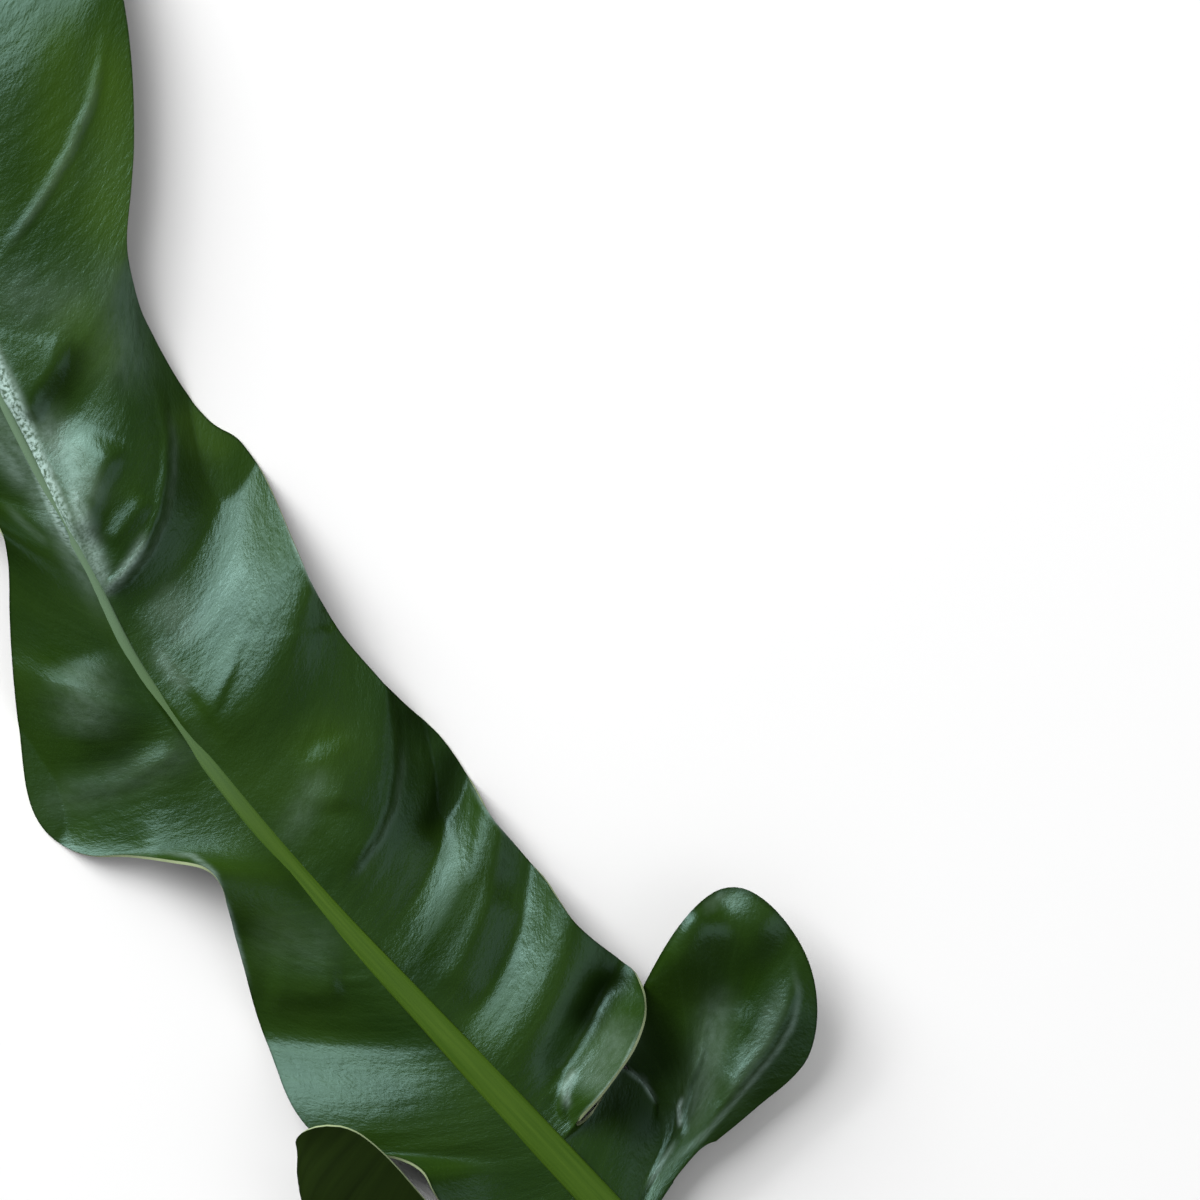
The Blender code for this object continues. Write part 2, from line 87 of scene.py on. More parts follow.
# %% Side veins of the right half
# place along the midrib in mm, end on the margin as picture x and y,
# heights in mm at the margin, two thirds out and one third out
RIGHT_BLADE = [
    (32.2, 570, 1128, 14, 13.2, 13.2), (35, 600, 1097, 17, 14.2, 13), (37, 620, 1069, 19.6, 15, 12.6),
    (38.5, 635, 1047, 20.6, 14.6, 12.2), (40, 645, 1030, 20.4, 13.4, 11.8), (42, 647, 1000, 16.5, 11, 11.2),
    (45, 642, 978, 10.5, 8.8, 11), (47, 633, 969, 8, 8.8, 11.4), (50, 620, 960, 8, 10.4, 12.4),
    (54, 600, 945, 11.6, 12.6, 13.6), (59, 578, 926, 14, 14.2, 14.4), (64, 561, 903, 12.8, 13.6, 13.9),
    (70, 546, 880, 9.2, 11, 11.9), (76, 529, 861, 6, 8.4, 10), (82, 515, 845, 6.6, 8.8, 10.6),
    (88, 501, 829, 8.4, 10.2, 11.6), (94, 487, 810, 7.8, 9.8, 11.2), (99, 477, 792, 4.2, 7.4, 9.8),
    (104, 464, 770, -1, 4.4, 8.4), (108, 455, 755, -4.6, 2.8, 7.8), (113, 438, 733, -2, 4.2, 8.6),
    (118.5, 412, 711, 2.6, 6.6, 9.6), (123, 400, 700, 5.4, 8.4, 10.6), (128, 391, 691, 7.4, 9.8, 11.4),
    (134, 382, 681, 8.6, 11.2, 12.2), (148, 350, 645, 9, 12, 12.4), (166, 328, 614, 11, 13, 12.6),
    (182, 309, 578, 14.2, 14.8, 13.8), (188, 300, 557, 13.4, 14, 13), (195, 290, 534, 11.4, 12.4, 11.4),
    (207, 272, 492, 6, 8.2, 8.8), (216, 258, 465, 0.6, 4.8, 6.8), (225, 236, 437, -5, 2.8, 6),
    (231, 215, 425, -3.6, 4.2, 7.4), (242, 180, 385, 2, 7.8, 10.6), (256, 150, 330, 7, 10, 11.6),
    (272, 138, 302, 9.6, 10.6, 9.4), (279, 133, 283, 11, 11.2, 8.2), (296, 127, 245, 13, 13, 11.4),
    (318, 132, 180, 13.2, 13.2, 12.4), (327, 134, 148, 13.3, 13.2, 12.4), (334, 134, 115, 13.4, 13.2, 12.4),
    (352, 130, 44, 14, 13.6, 12.6), (374, 118, -30, 14.4, 14, 13), (396, 105, -92, 10.6, 11.2, 11.2),
    (418, 88, -160, 3, 6, 7.6), (424, 82, -180, 8, 11.2, 11), (450, 55, -255, 9, 10.5, 10),
    (474, 22, -318, -5, 2.6, 6), (498, -14, -378, 6.5, 7, 7), (518, -42, -420, 3.4, 4, 4.6),
    (528, -56, -431, 3, 3.2, 3.4),
]
print(len(RIGHT_BLADE), "veins")

# %% Side veins of the left half
# in the same order
LEFT_BLADE = [
    (15, 562, 1222, 12.6, 12.8, 12.6), (16.5, 525, 1236, 13.4, 13.2, 12.8), (19, 492, 1238, 15, 13.4, 13),
    (22, 460, 1224, 18, 14, 13.4), (25, 436, 1201, 22, 14.4, 13.6), (29, 428, 1178, 23, 14.8, 14),
    (35, 404, 1160, 16, 14, 14), (43, 352, 1150, 13, 15, 14.8), (51, 309, 1129, 12, 14.8, 14.8),
    (58, 289, 1099, 9.6, 13, 14.2), (68, 273, 1058, 5.4, 9, 12), (78, 263, 1032, 3.6, 7, 10.2),
    (84, 257, 1014, 4.4, 7.8, 10.8), (98, 246, 974, 9, 11, 12.6), (114, 236, 938, 12, 13, 13.4),
    (128, 226, 903, 18, 16.2, 14.6), (137, 213, 872, 20, 17.6, 15), (144, 180, 864, 17, 15.6, 14),
    (151, 140, 857, 12, 13, 12.8), (158, 98, 857, 8, 10.6, 11.8), (165, 68, 849, 4, 8, 10.8),
    (172, 45, 830, -1, 5.4, 9.6), (180, 30, 798, -5, 3.4, 8.4), (188, 21, 740, -2, 3.6, 7.4),
    (195, 14, 680, 6, 9.8, 10.8), (210, 10, 620, 9, 10.4, 10.6), (226, 8, 560, 14, 12.6, 10.8),
    (238, 0, 530, 18, 14.4, 11.4), (247, -20, 506, 17, 13.4, 10.8), (254, -48, 486, 13, 11, 9.6),
    (261, -84, 470, 8.6, 8.8, 8.6), (267, -118, 456, 7.6, 10, 10.6), (278, -170, 424, 3.4, 8.6, 10.4),
    (292, -214, 376, -2, 4.8, 9.2), (308, -244, 330, -6, 3.2, 8.2), (324, -252, 250, 6, 10.6, 11.4),
    (342, -246, 170, 12, 13, 12), (362, -240, 100, 16, 14, 12), (382, -256, 30, 8, 9, 9.4),
    (390, -266, -20, 6, 10, 11), (412, -268, -100, -1, 5, 8.8), (436, -250, -180, -5, 3, 7.2),
    (460, -214, -260, 7, 9, 9), (486, -166, -335, 9, 8.4, 7.4), (508, -118, -396, 3.4, 4.6, 5.2),
    (528, -73, -431, 3, 3.2, 3.4),
]
print(len(LEFT_BLADE), "veins")

# %% [markdown]
# ## The two lobes
# Behind the stalk the blade goes on as two small lobes. They twist and roll over, so a single height a
# third of the way out can't describe them. Their veins are given as four places each, from the midrib out
# to the margin.

# %% Veins of the right lobe
# place behind the joint in mm, then picture x, picture y and height in mm, four times
RIGHT_LOBE = [
    (30.5, 557, 1144, 13.1, 565, 1138, 12.9, 573, 1132, 12.7, 581, 1125, 12.5),
    (28, 568, 1145, 12.7, 577, 1133, 12.1, 587, 1120, 11.5, 597, 1107, 11),
    (24, 578, 1149, 12.4, 590, 1130, 11.4, 600, 1108, 10.6, 607, 1086, 10),
    (19, 592, 1156, 12.1, 604, 1128, 10.9, 613, 1098, 9.9, 620, 1066, 9.5),
    (14, 607, 1168, 11.8, 620, 1139, 10.2, 630, 1107, 9.2, 637, 1076, 9.2),
    (9, 621, 1180, 11.2, 634, 1150, 9.2, 644, 1122, 7.4, 652, 1095, 7.6),
    (5, 630, 1191, 10.8, 644, 1161, 8.2, 652, 1134, 6, 655, 1104, 6.4),
    (2.5, 636, 1196, 10.2, 652, 1161, 7, 661, 1134, 4.8, 657, 1104, 4.6),
    (0.5, 638.5, 1198, 9.8, 659, 1157, 6.2, 672, 1120, 4.2, 630, 1084, 4.2),
    (-1, 640.5, 1199, 9.5, 665, 1154, 5.6, 683, 1103, 4.6, 622, 1036, 6),
    (-2.1, 642, 1200, 9.3, 668, 1151, 5.6, 690, 1085, 5.8, 646, 981, 9.5),
    (-3, 643.5, 1200, 9.2, 671, 1148, 5.8, 695, 1066, 7, 673, 933, 16),
    (-3.8, 645, 1200, 9.2, 674, 1145, 6.2, 699, 1052, 8, 704, 894, 18.5),
    (-4.6, 646.2, 1200, 9.2, 678, 1141, 6.8, 709, 1040, 8.8, 735, 884, 18.5),
    (-5.4, 647.4, 1200, 9.3, 681, 1136, 7.4, 722, 1028, 11.2, 762, 896, 18.5),
    (-6.2, 648.5, 1200, 9.4, 686, 1134, 8.6, 742, 1022, 14, 790, 925, 19),
    (-7, 649.6, 1200, 9.6, 689, 1131, 9.4, 758, 1024, 16, 811, 962, 18.5),
    (-7.8, 650.6, 1200, 9.8, 693, 1134, 10.4, 764, 1038, 16.6, 818, 1000, 16.5),
    (-8.6, 651.6, 1200, 10, 696, 1138, 11.6, 757, 1064, 16, 815, 1042, 12.5),
    (-9.4, 652.5, 1200, 10, 697, 1143, 12, 750, 1084, 14.6, 800, 1073, 11),
    (-10.2, 654.4, 1202.5, 10, 695, 1150, 12, 734, 1107, 13.6, 768, 1098, 10.4),
    (-11, 655.4, 1205, 10, 690, 1158, 11.6, 718, 1130, 12.4, 741, 1130, 9.8),
    (-11.8, 656, 1208, 10, 681, 1171, 11, 699, 1155, 11, 712, 1149, 9.4),
    (-12.6, 656, 1211, 10, 668, 1189, 10.4, 677, 1177, 9.8, 684, 1169, 8.6),
    (-13.3, 655, 1215, 10.2, 658, 1205, 10, 661, 1197, 9.6, 664, 1190, 9.2),
    (-14, 652, 1231, 10.6, 655, 1224, 10.2, 657, 1217, 9.8, 658, 1210, 9.4),
]
print(len(RIGHT_LOBE), "veins")

# %% Veins of the left lobe
# in the same order
LEFT_LOBE = [
    (13.5, 588, 1208, 12, 578, 1218, 11.4, 567, 1227, 10.6, 556, 1235, 10),
    (11, 587, 1217, 11.6, 570, 1229, 10.4, 552, 1240, 9.2, 530, 1250, 8.2),
    (8.5, 587, 1225, 11.2, 561, 1240, 9.4, 533, 1252, 7.6, 503, 1257, 6.4),
    (6, 587, 1233, 10.6, 549, 1251, 8, 506, 1262, 5.6, 465, 1253, 4.8),
    (4, 586, 1240, 10, 536, 1258, 6.4, 472, 1265, 3.6, 428, 1238, 3.4),
    (2, 585, 1246, 9.5, 518, 1264, 5.2, 433, 1263, 2.4, 392, 1217, 3),
    (0.5, 584, 1251, 9, 500, 1269, 4.2, 399, 1256, 1.7, 359, 1197, 4),
    (-1, 583, 1256, 8.6, 482, 1273, 3.4, 371, 1248, 1.4, 332, 1176, 6.5),
    (-2.2, 583, 1261, 8.3, 464, 1276, 2.8, 348, 1239, 1.6, 312, 1159, 11),
    (-3.4, 583, 1265, 8.1, 446, 1279, 2.4, 322, 1226, 3.2, 297, 1147, 18),
    (-4.6, 583, 1269, 7.8, 428, 1282, 2, 298, 1214, 7.6, 300, 1133, 26),
    (-5.2, 583.5, 1272, 7.7, 418, 1284, 1.9, 285, 1204, 10.6, 311, 1126, 29.5),
    (-5.8, 584, 1275, 7.6, 409, 1286, 1.8, 277, 1196, 14, 335, 1124, 31.5),
    (-7, 585, 1279, 7.6, 402, 1290, 2, 287, 1234, 16.5, 366, 1138, 32),
    (-8.2, 586, 1283, 7.6, 406, 1297, 2.4, 333, 1271, 17, 395, 1165, 31),
    (-9.4, 588, 1286, 7.6, 426, 1302, 3.5, 378, 1292, 17, 418, 1192, 29),
    (-10.4, 590, 1288, 7.8, 454, 1305, 4.8, 418, 1302, 15.5, 446, 1222, 25),
    (-11.4, 592, 1289, 8, 488, 1307, 6.2, 462, 1306, 13.5, 482, 1250, 20),
    (-12.6, 598, 1289, 8.4, 530, 1306, 7.4, 508, 1305, 11.5, 520, 1274, 15),
    (-14, 612, 1285, 9.2, 584, 1299, 8.8, 566, 1300, 9.8, 562, 1288, 10.6),
]
print(len(LEFT_LOBE), "veins")

# %% Width of the midrib
# place along it in mm, half width in mm
RIB_WIDTH = [(-30, 4.3), (0, 4.7), (40, 4.5), (90, 3.5), (150, 2.6), (220, 1.6), (300, 1.2), (540, 0.8)]
print("midrib", 2 * RIB_WIDTH[1][1], "mm wide at the joint")

# %% [markdown]
# ## A smooth curve through the veins
# Between two veins the leaf has to run smoothly, and a height may not swing past its neighbours, or a wave
# would get bumps that nobody asked for. A cubic curve with guarded slopes does both.

# %% The curve
def through(knots, values, places, keep_between=True):
    knots = np.asarray(knots, float)
    values = np.asarray(values, float).reshape(len(knots), -1)
    gaps = np.diff(knots)[:, None]
    steps = np.diff(values, axis=0) / gaps
    low, high = steps[:-1], steps[1:]
    if keep_between:
        same = low * high > 0
        inner = np.where(same, 2 * low * high / np.where(same, low + high, 1.0), 0.0)
    else:
        inner = (low * gaps[1:] + high * gaps[:-1]) / (gaps[:-1] + gaps[1:])
    slopes = np.concatenate([steps[:1], inner, steps[-1:]])
    places = np.clip(np.asarray(places, float), knots[0], knots[-1])
    i = np.clip(np.searchsorted(knots, places) - 1, 0, len(knots) - 2)
    u = ((places - knots[i]) / gaps[i, 0])[:, None]
    return (
        (2 * u**3 - 3 * u**2 + 1) * values[i]
        + (u**3 - 2 * u**2 + u) * gaps[i] * slopes[i]
        + (3 * u**2 - 2 * u**3) * values[i + 1]
        + (u**3 - u**2) * gaps[i] * slopes[i + 1]
    )


print("halfway between 0 and 1:", float(through([0, 1], [0, 1], [0.5])[0, 0]))

# %% From picture to leaf
# the veins of a lobe start this much closer together than their places say
LOBE_CROWDING = 0.4


def to_leaf(x, y, height_mm):
    height = np.asarray(height_mm, float) * 1e-3
    pixel = np.stack([np.asarray(x, float), np.asarray(y, float)], -1)
    pixel = PICTURE_CENTRE + (pixel - PICTURE_CENTRE) * (1 - height / CAMERA_HEIGHT)[..., None]
    flat = (pixel - STALK_JOINT) * PIXEL_SIZE
    return np.stack([flat @ CHORD, flat @ SIDE, height], -1)


rib_points = to_leaf(*np.array(MIDRIB, float).T)
rib_arc = np.concatenate([[0], np.cumsum(np.linalg.norm(np.diff(rib_points[:, :2], axis=0), axis=1))])
rib_arc = (rib_arc - rib_arc[2]) * 1e3


def on_midrib(places_mm):
    places = np.atleast_1d(np.asarray(places_mm, float))
    point = through(rib_arc, rib_points, places, False)
    ahead = through(rib_arc, rib_points, places + 1, False)
    ahead -= through(rib_arc, rib_points, places - 1, False)
    ahead[:, 2] = 0
    ahead /= np.linalg.norm(ahead, axis=1)[:, None]
    return point, ahead, np.stack([-ahead[:, 1], ahead[:, 0], 0 * ahead[:, 0]], -1)


def vein_start(places_mm):
    return np.where(places_mm < 0, LOBE_CROWDING * places_mm, places_mm)


print("midrib from", round(rib_arc[0]), "to", round(rib_arc[-1]), "mm")

# %% [markdown]
# ## The net of the blade
# Every vein becomes five points from the midrib to the margin. In the blade they sweep back towards the
# stalk, as the side veins of a philodendron do. The curve above then fills in as many veins as the mesh
# needs.

# %% Rows of the blade and the lobes
# share of the way from the midrib to the margin, for the five points of a vein
STATIONS = (0.0, 0.25, 0.5, 0.75, 1.0)


def blade_rows(table, bend):
    table = np.array(table, float)
    start, ahead, aside = on_midrib(table[:, 0])
    margin = to_leaf(table[:, 1], table[:, 2], table[:, 3])
    reach = margin - start
    forward = (reach * ahead).sum(1)[:, None]
    outward = (reach * aside).sum(1)[:, None]
    rows = []
    for t in STATIONS:
        place = start + ahead * forward * t**bend + aside * outward * t
        heights = np.stack([start[:, 2] * 1e3, table[:, 5], table[:, 4], table[:, 3]])
        place[:, 2] = through([0, 1 / 3, 2 / 3, 1], heights, [t], False)[0] * 1e-3
        rows.append(place)
    return table[:, 0], np.stack(rows, 1)


def lobe_rows(table):
    table = np.array(table, float)
    start = on_midrib(vein_start(table[:, 0]))[0]
    rows = [start] + [to_leaf(*table[:, k:k + 3].T) for k in (1, 4, 7, 10)]
    return table[:, 0], np.stack(rows, 1)


def half_net(blade, lobe, bend):
    blade_places, blade_points = blade_rows(blade, bend)
    lobe_places, lobe_points = lobe_rows(lobe)
    return (
        np.concatenate([lobe_places[::-1], blade_places]),
        np.concatenate([lobe_points[::-1], blade_points]),
    )


print(len(STATIONS), "points a vein")

# %% Sheet of one half
# steep folds are eased up to one place along the midrib and between two others, all in mm
EASED_LOBES = 46
EASED_FOLD = (243, 272)
EASING = 0.6
EASING_ROUNDS = 2
EASING_AT_MARGIN = 0.8


def sheet(net, columns, rows):
    places, points = net
    grid = np.empty((len(columns), len(STATIONS), 3))
    for k in range(len(STATIONS)):
        grid[:, k, :2] = through(places, points[:, k, :2], columns, False)
        grid[:, k, 2:] = through(places, points[:, k, 2:], columns, True)
    grid[:, 0] = on_midrib(vein_start(columns))[0]
    by_station = grid.transpose(1, 0, 2).reshape(len(STATIONS), -1)
    across = through(STATIONS, by_station, rows, False)
    return across.reshape(len(rows), len(columns), 3).transpose(1, 0, 2)


def eased(grid, columns):
    in_steep_fold = (columns > EASED_FOLD[0]) & (columns < EASED_FOLD[1])
    weight = np.where((columns < EASED_LOBES) | in_steep_fold, EASING, 0.0)[1:-1, None, None]
    for _ in range(EASING_ROUNDS):
        around = grid[2:, 1:-1] + grid[:-2, 1:-1] + grid[1:-1, 2:] + grid[1:-1, :-2]
        grid[1:-1, 1:-1] += weight * (around / 4 - grid[1:-1, 1:-1])
    edge = grid[:, -1].copy()
    grid[1:-1, -1] += EASING_AT_MARGIN * weight[:, 0] * ((edge[2:] + edge[:-2]) / 2 - edge[1:-1])
    return grid


print("eased between", EASED_FOLD, "mm")

# %% Columns and rows
# places along the midrib in mm, closer together where a fold is tight, and shares of the way to the margin
COLUMNS = np.unique(np.concatenate([
    np.arange(-11.4, 0, 0.6), np.arange(0, 19, 2.0), [21, 24, 27, 29, 30.5, 32, 33.6, 35, 37, 38.5, 40],
    [42.5],
    np.arange(45, 76, 5.0), [78, 81, 84, 88, 92, 96, 99, 102, 105, 108, 111, 114, 118, 122, 127],
    np.arange(132, 188, 7.0), [188, 191.5, 195], np.arange(201, 225, 6.0), [225, 227, 229, 231, 235],
    [240, 245, 250, 255, 260, 264, 268, 272, 275.5, 279, 285], np.arange(292, 325, 7.0),
    [327, 330.5, 334, 341], np.arange(350, 382, 8.0), [382, 386, 390], np.arange(399, 418, 9.0),
    [418, 421, 424], np.arange(433, 525, 9.5), [528],
]))
ROWS = np.array([0, 0.12, 0.26, 0.41, 0.56, 0.71, 0.86, 1.0])
RIGHT_SWEEP = 2.3
LEFT_SWEEP = 1.25
right_sheet = eased(sheet(half_net(RIGHT_BLADE, RIGHT_LOBE, RIGHT_SWEEP), COLUMNS, ROWS), COLUMNS)
left_sheet = eased(sheet(half_net(LEFT_BLADE, LEFT_LOBE, LEFT_SWEEP), COLUMNS, ROWS), COLUMNS)
left_sheet[:, 0] = right_sheet[:, 0]
print("net", right_sheet.shape)

# %% [markdown]
# ## A finer net
# The measured part has as few faces as its shape allows. The eye wants more: each half of the blade gets
# columns of vertices about a millimetre apart, spread by how far the surface really runs, so that the lobes
# are as fine as the blade.

# %% Finer columns and rows
FINE_COLUMNS = 520
FINE_ROWS = 84
FLOOR_GAP = 0.45e-3


def finer(grid):
    middle_line = grid[:, 4:].mean(1)
    run = np.concatenate([[0], np.cumsum(np.linalg.norm(np.diff(middle_line, axis=0), axis=1) + 1e-4)])
    wanted = np.linspace(0, run[-1], FINE_COLUMNS + 1)
    columns = np.interp(wanted, run, COLUMNS)
    fine = through(COLUMNS, grid.reshape(len(COLUMNS), -1), columns, False)
    fine = fine.reshape(len(columns), len(ROWS), 3)
    rows = np.linspace(0, 1, FINE_ROWS + 1)
    fine = through(ROWS, fine.transpose(1, 0, 2).reshape(len(ROWS), -1), rows, False)
    return fine.reshape(len(rows), len(columns), 3).transpose(1, 0, 2), wanted, columns


right_fine, right_run, right_columns = finer(right_sheet)
left_fine, left_run, left_columns = finer(left_sheet)
print("fine net", right_fine.shape, "run in mm", round(right_run[-1] * 1e3), round(left_run[-1] * 1e3))

# %% [markdown]
# ## Side veins and small unevenness
# Seen close, the blade isn't glass: side veins stand a little over it, and between them it is slightly
# cushioned. Both are pushed out along the surface itself, the veins by less than a tenth of a millimetre,
# the cushions by a quarter at most. Such small lifts could be left to a bump in the finish, but a real one
# also bends the mirrored light.

# %% Relief of the blade
VEIN_SPACING = 5.2e-3
VEIN_WIDTH = 0.9e-3
VEIN_HEIGHT = 0.07e-3
SWELL_HEIGHT = 0.25e-3
SWELL_SIZE = 0.022
VEIN_BEGINS = 0.08
VEIN_FADES = 0.3
SWELL_BEGINS = 0.15


def surface_normals(grid):
    normal = np.cross(np.gradient(grid, axis=0), np.gradient(grid, axis=1))
    return normal / np.maximum(np.linalg.norm(normal, axis=2), 1e-12)[..., None]


def relief(grid, run, seed):
    rng = np.random.default_rng(seed)
    veins = np.cumsum(rng.uniform(0.6, 1.4, int(run[-1] / VEIN_SPACING) + 2)) * VEIN_SPACING
    strength = rng.uniform(0.3, 1.0, len(veins))
    gap = (run[:, None] - veins[None, :]) / VEIN_WIDTH
    profile = (np.exp(-gap**2) * strength).sum(1) * VEIN_HEIGHT
    rows = np.linspace(0, 1, grid.shape[1])
    fade = np.clip(rows / VEIN_BEGINS, 0, 1) * np.clip((1 - rows) / VEIN_FADES, 0, 1)
    swell = np.array([
        [noise.noise(Vector(point) / SWELL_SIZE) for point in column] for column in grid[:, ::2]
    ])
    swell = np.repeat(swell, 2, 1)[:, :grid.shape[1]]
    swell[:, 1:-1] = (swell[:, 2:] + swell[:, :-2]) / 2
    lift = profile[:, None] * fade + SWELL_HEIGHT * swell * np.clip(rows / SWELL_BEGINS, 0, 1)
    upward = surface_normals(grid)
    upward *= np.sign(upward[..., 2:] + 1e-9)
    return grid + upward * lift[..., None]


print("side veins about", round(VEIN_SPACING * 1e3, 1), "mm apart")

# %% [markdown]
# ## Folds
# Where the blade has more length in its margin than along its midrib, it buckles. A fold rolls over towards
# the stalk: the surface swells on the side of the tip and drops off sharply at the line. Sculpting would do
# it too, but a line drawn in the picture can be moved by a pixel and tried again.

# %% Lines of the folds
# points in the picture, then in mm the lift, the width of the drop, the height of the lip and the reach
# of the swelling, then the shares of the length that fade at the start and at the end
FOLDS = [
    ([(339, 892), (360, 868), (380, 838), (394, 806), (401, 765), (400, 730), (396, 700), (385, 620)],
     1.4, 2.2, 0.25, 12, 0.2, 0),
    ([(106, 597), (131, 579), (152, 550), (167, 514), (174, 476), (174, 436), (167, 398), (157, 362)],
     1.8, 2.2, 0.55, 10, 0.05, 0.5),
    ([(38, 426), (50, 400), (66, 374), (74, 345), (75, 322)], 1.6, 5, 0.1, 9, 0.1, 0.5),
    ([(198, 738), (219, 713), (238, 672), (255, 623)], 0.5, 2.2, 0.1, 8, 0.4, 0.5),
]
print(len(FOLDS), "folds")

# %% [markdown]
# ## Ridges and hollows
# Between the folds the blade rises and sinks softly, mostly by a millimetre or two, beside the right lobe
# by up to six. A glossy leaf shows each such slope as a pale or a dark band, so these lines decide where
# the leaf shines. A negative lift is a hollow.

# %% Lines of the ridges and hollows
# points in the picture, then in mm the lift, the width on the left and on the right of the line and, for a
# line that lifts only some veins, the place of the first of them
RIDGES = [
    ([(695, 1147), (716, 1110), (742, 1080), (767, 1050), (787, 1012), (795, 980), (790, 960)],
     1.2, 3.6, 1.8),
    ([(716, 1100), (733, 1063), (738, 1029), (729, 1000)], 1.2, 7, 5),
    ([(640, 1198), (666, 1156), (681, 1132), (682, 1109), (686, 1088), (700, 1058), (706, 1030)],
     1.2, 1.1, 1.3),
    ([(668, 990), (698, 942), (745, 922), (786, 950)], 4.8, 9, 14),
    ([(640, 1000), (666, 953), (691, 915), (712, 890)], 4.6, 2.5, 10),
    ([(573, 1126), (600, 1097), (622, 1068), (637, 1045), (647, 1018), (648, 985)], 5.6, 9, 9, 31),
    ([(556, 1100), (564, 1068), (590, 1022), (616, 964)], -2.6, 6, 4.6, 36),
    ([(566, 1124), (562, 1108), (566, 1088), (580, 1064)], 0.8, 1.2, 1.2, 31),
    ([(-10, 272), (24, 225), (48, 189), (69, 153), (91, 103), (103, 56), (106, 20)], 0.55, 1.4, 1.6),
    ([(376, 979), (338, 982)], 0.3, 1, 1),
    ([(112, 590), (103, 574), (81, 532), (59, 480), (36, 424), (12, 370), (-6, 320)], 0.8, 2, 4),
    ([(244, 752), (214, 712), (184, 670), (160, 628), (128, 598)], 0.8, 2.6, 8),
    ([(88, 546), (87, 512), (94, 484), (106, 460), (120, 438)], 2.3, 10, 3.6),
    ([(106, 548), (128, 520), (150, 496)], 0.9, 2.6, 2.6),
    ([(0, 738), (60, 744), (120, 748), (215, 752)], 2.4, 12, 11),
    ([(48, 797), (123, 784), (165, 758), (184, 736)], 0.7, 3, 2.2),
    ([(104, 775), (104, 715), (84, 652)], 1.7, 11, 9), ([(338, 816), (338, 776), (318, 740)], 1.2, 7, 7),
    ([(36, 836), (80, 864), (160, 868)], -2.2, 10, 10),
    ([(452, 748), (444, 790), (424, 840)], -1.6, 5, 3), ([(262, 992), (300, 994), (350, 986)], 1.6, 9, 4),
    ([(450, 1004), (480, 950), (510, 880)], 1.2, 6, 7),
]
print(len(RIDGES), "ridges and hollows")

# %% [markdown]
# ## How near a line is
# Each point of the net is carried back into the picture, where its distance to a line is measured. The side
# counts too, as a fold is steep on one side only, and so does the share of the line that has been passed,
# as every line fades at its ends.

# %% Distance to a line
def in_picture(grid):
    flat = STALK_JOINT + (grid[..., :1] * CHORD + grid[..., 1:2] * SIDE) / PIXEL_SIZE
    return PICTURE_CENTRE + (flat - PICTURE_CENTRE) / (1 - grid[..., 2:] / CAMERA_HEIGHT)


def along_line(picture, line):
    """Distance in mm to a line, the side, 1 for left, and the share of the length passed."""
    line = np.array(line, float)
    lengths = np.linalg.norm(np.diff(line, axis=0), axis=1)
    passed = np.concatenate([[0], np.cumsum(lengths)])
    best = np.full(picture.shape[:2], 1e9)
    side = np.ones(picture.shape[:2])
    share = np.zeros(picture.shape[:2])
    for k, length in enumerate(lengths):
        step = line[k + 1] - line[k]
        offset = picture - line[k]
        u = np.clip((offset @ step) / length**2, 0, 1)
        distance = np.linalg.norm(offset - u[..., None] * step, axis=-1)
        nearer = distance < best
        best = np.where(nearer, distance, best)
        turn = offset[..., 0] * step[1] - offset[..., 1] * step[0]
        side = np.where(nearer, np.where(turn > 0, 1.0, -1.0), side)
        share = np.where(nearer, (passed[k] + u * length) / passed[-1], share)
    return best * PIXEL_SIZE * 1e3, side, share


def faded(share, start, end):
    first = np.clip(share / max(start, 1e-6), 0, 1)
    last = np.clip((1 - share) / max(end, 1e-6), 0, 1)
    both = first * last
    return both * both * (3 - 2 * both)


print("lift left at an eighth", faded(0.125, 0.25, 0.25))

# %% The lift
# the last values hold the net down beside the midrib
RIDGE_FADE = 0.25
FIRST_SOFTNESS = 1.5
HELD_BY_MIDRIB = np.array([0.0, 0.25, 0.6, 0.85])


def folded(grid, places):
    picture = in_picture(grid)
    lift = np.zeros(grid.shape[:2])
    for line, height, drop, lip, reach, start, end in FOLDS:
        distance, side, share = along_line(picture, line)
        near = np.clip(distance / drop, 0, 1)
        roll = 1 - (1 - near)**2
        swelling = height * roll * np.exp(-np.clip(distance - drop, 0, None) / reach)
        swelling += lip * np.exp(-((distance - drop) / (0.5 * drop))**2)
        lift += np.where(side > 0, swelling, 0) * faded(share, start, end)
    for line, height, left, right, *first in RIDGES:
        distance, side, share = along_line(picture, line)
        width = np.where(side > 0, left, right)
        wanted = np.clip((places[:, None] - first[0]) / FIRST_SOFTNESS, 0, 1) if first else 1.0
        lift += height * np.exp(-(distance / width)**2) * faded(share, RIDGE_FADE, RIDGE_FADE) * wanted
    lift[:, :len(HELD_BY_MIDRIB)] *= HELD_BY_MIDRIB
    grid = grid.copy()
    grid[..., 2] += lift * 1e-3
    print("largest lift", round(float(lift.max()), 2), "mm")
    return grid


# %% [markdown]
# ## A rounded corner
# The right lobe ends at its rear in a corner. On the leaf that corner is round, so the rearmost veins of
# the fine net are cut short, the last one most.

# %% Corner of the right lobe
CORNER_VEINS = 18
CORNER_TRIM = 0.16


def rounded_corner(grid):
    rows = np.linspace(0, 1, grid.shape[1])
    for i in range(CORNER_VEINS):
        reach = 1 - CORNER_TRIM * (1 - i / CORNER_VEINS)**2
        grid[i] = through(rows, grid[i], rows * reach, False)
    return grid


print("last vein cut to", 1 - CORNER_TRIM)

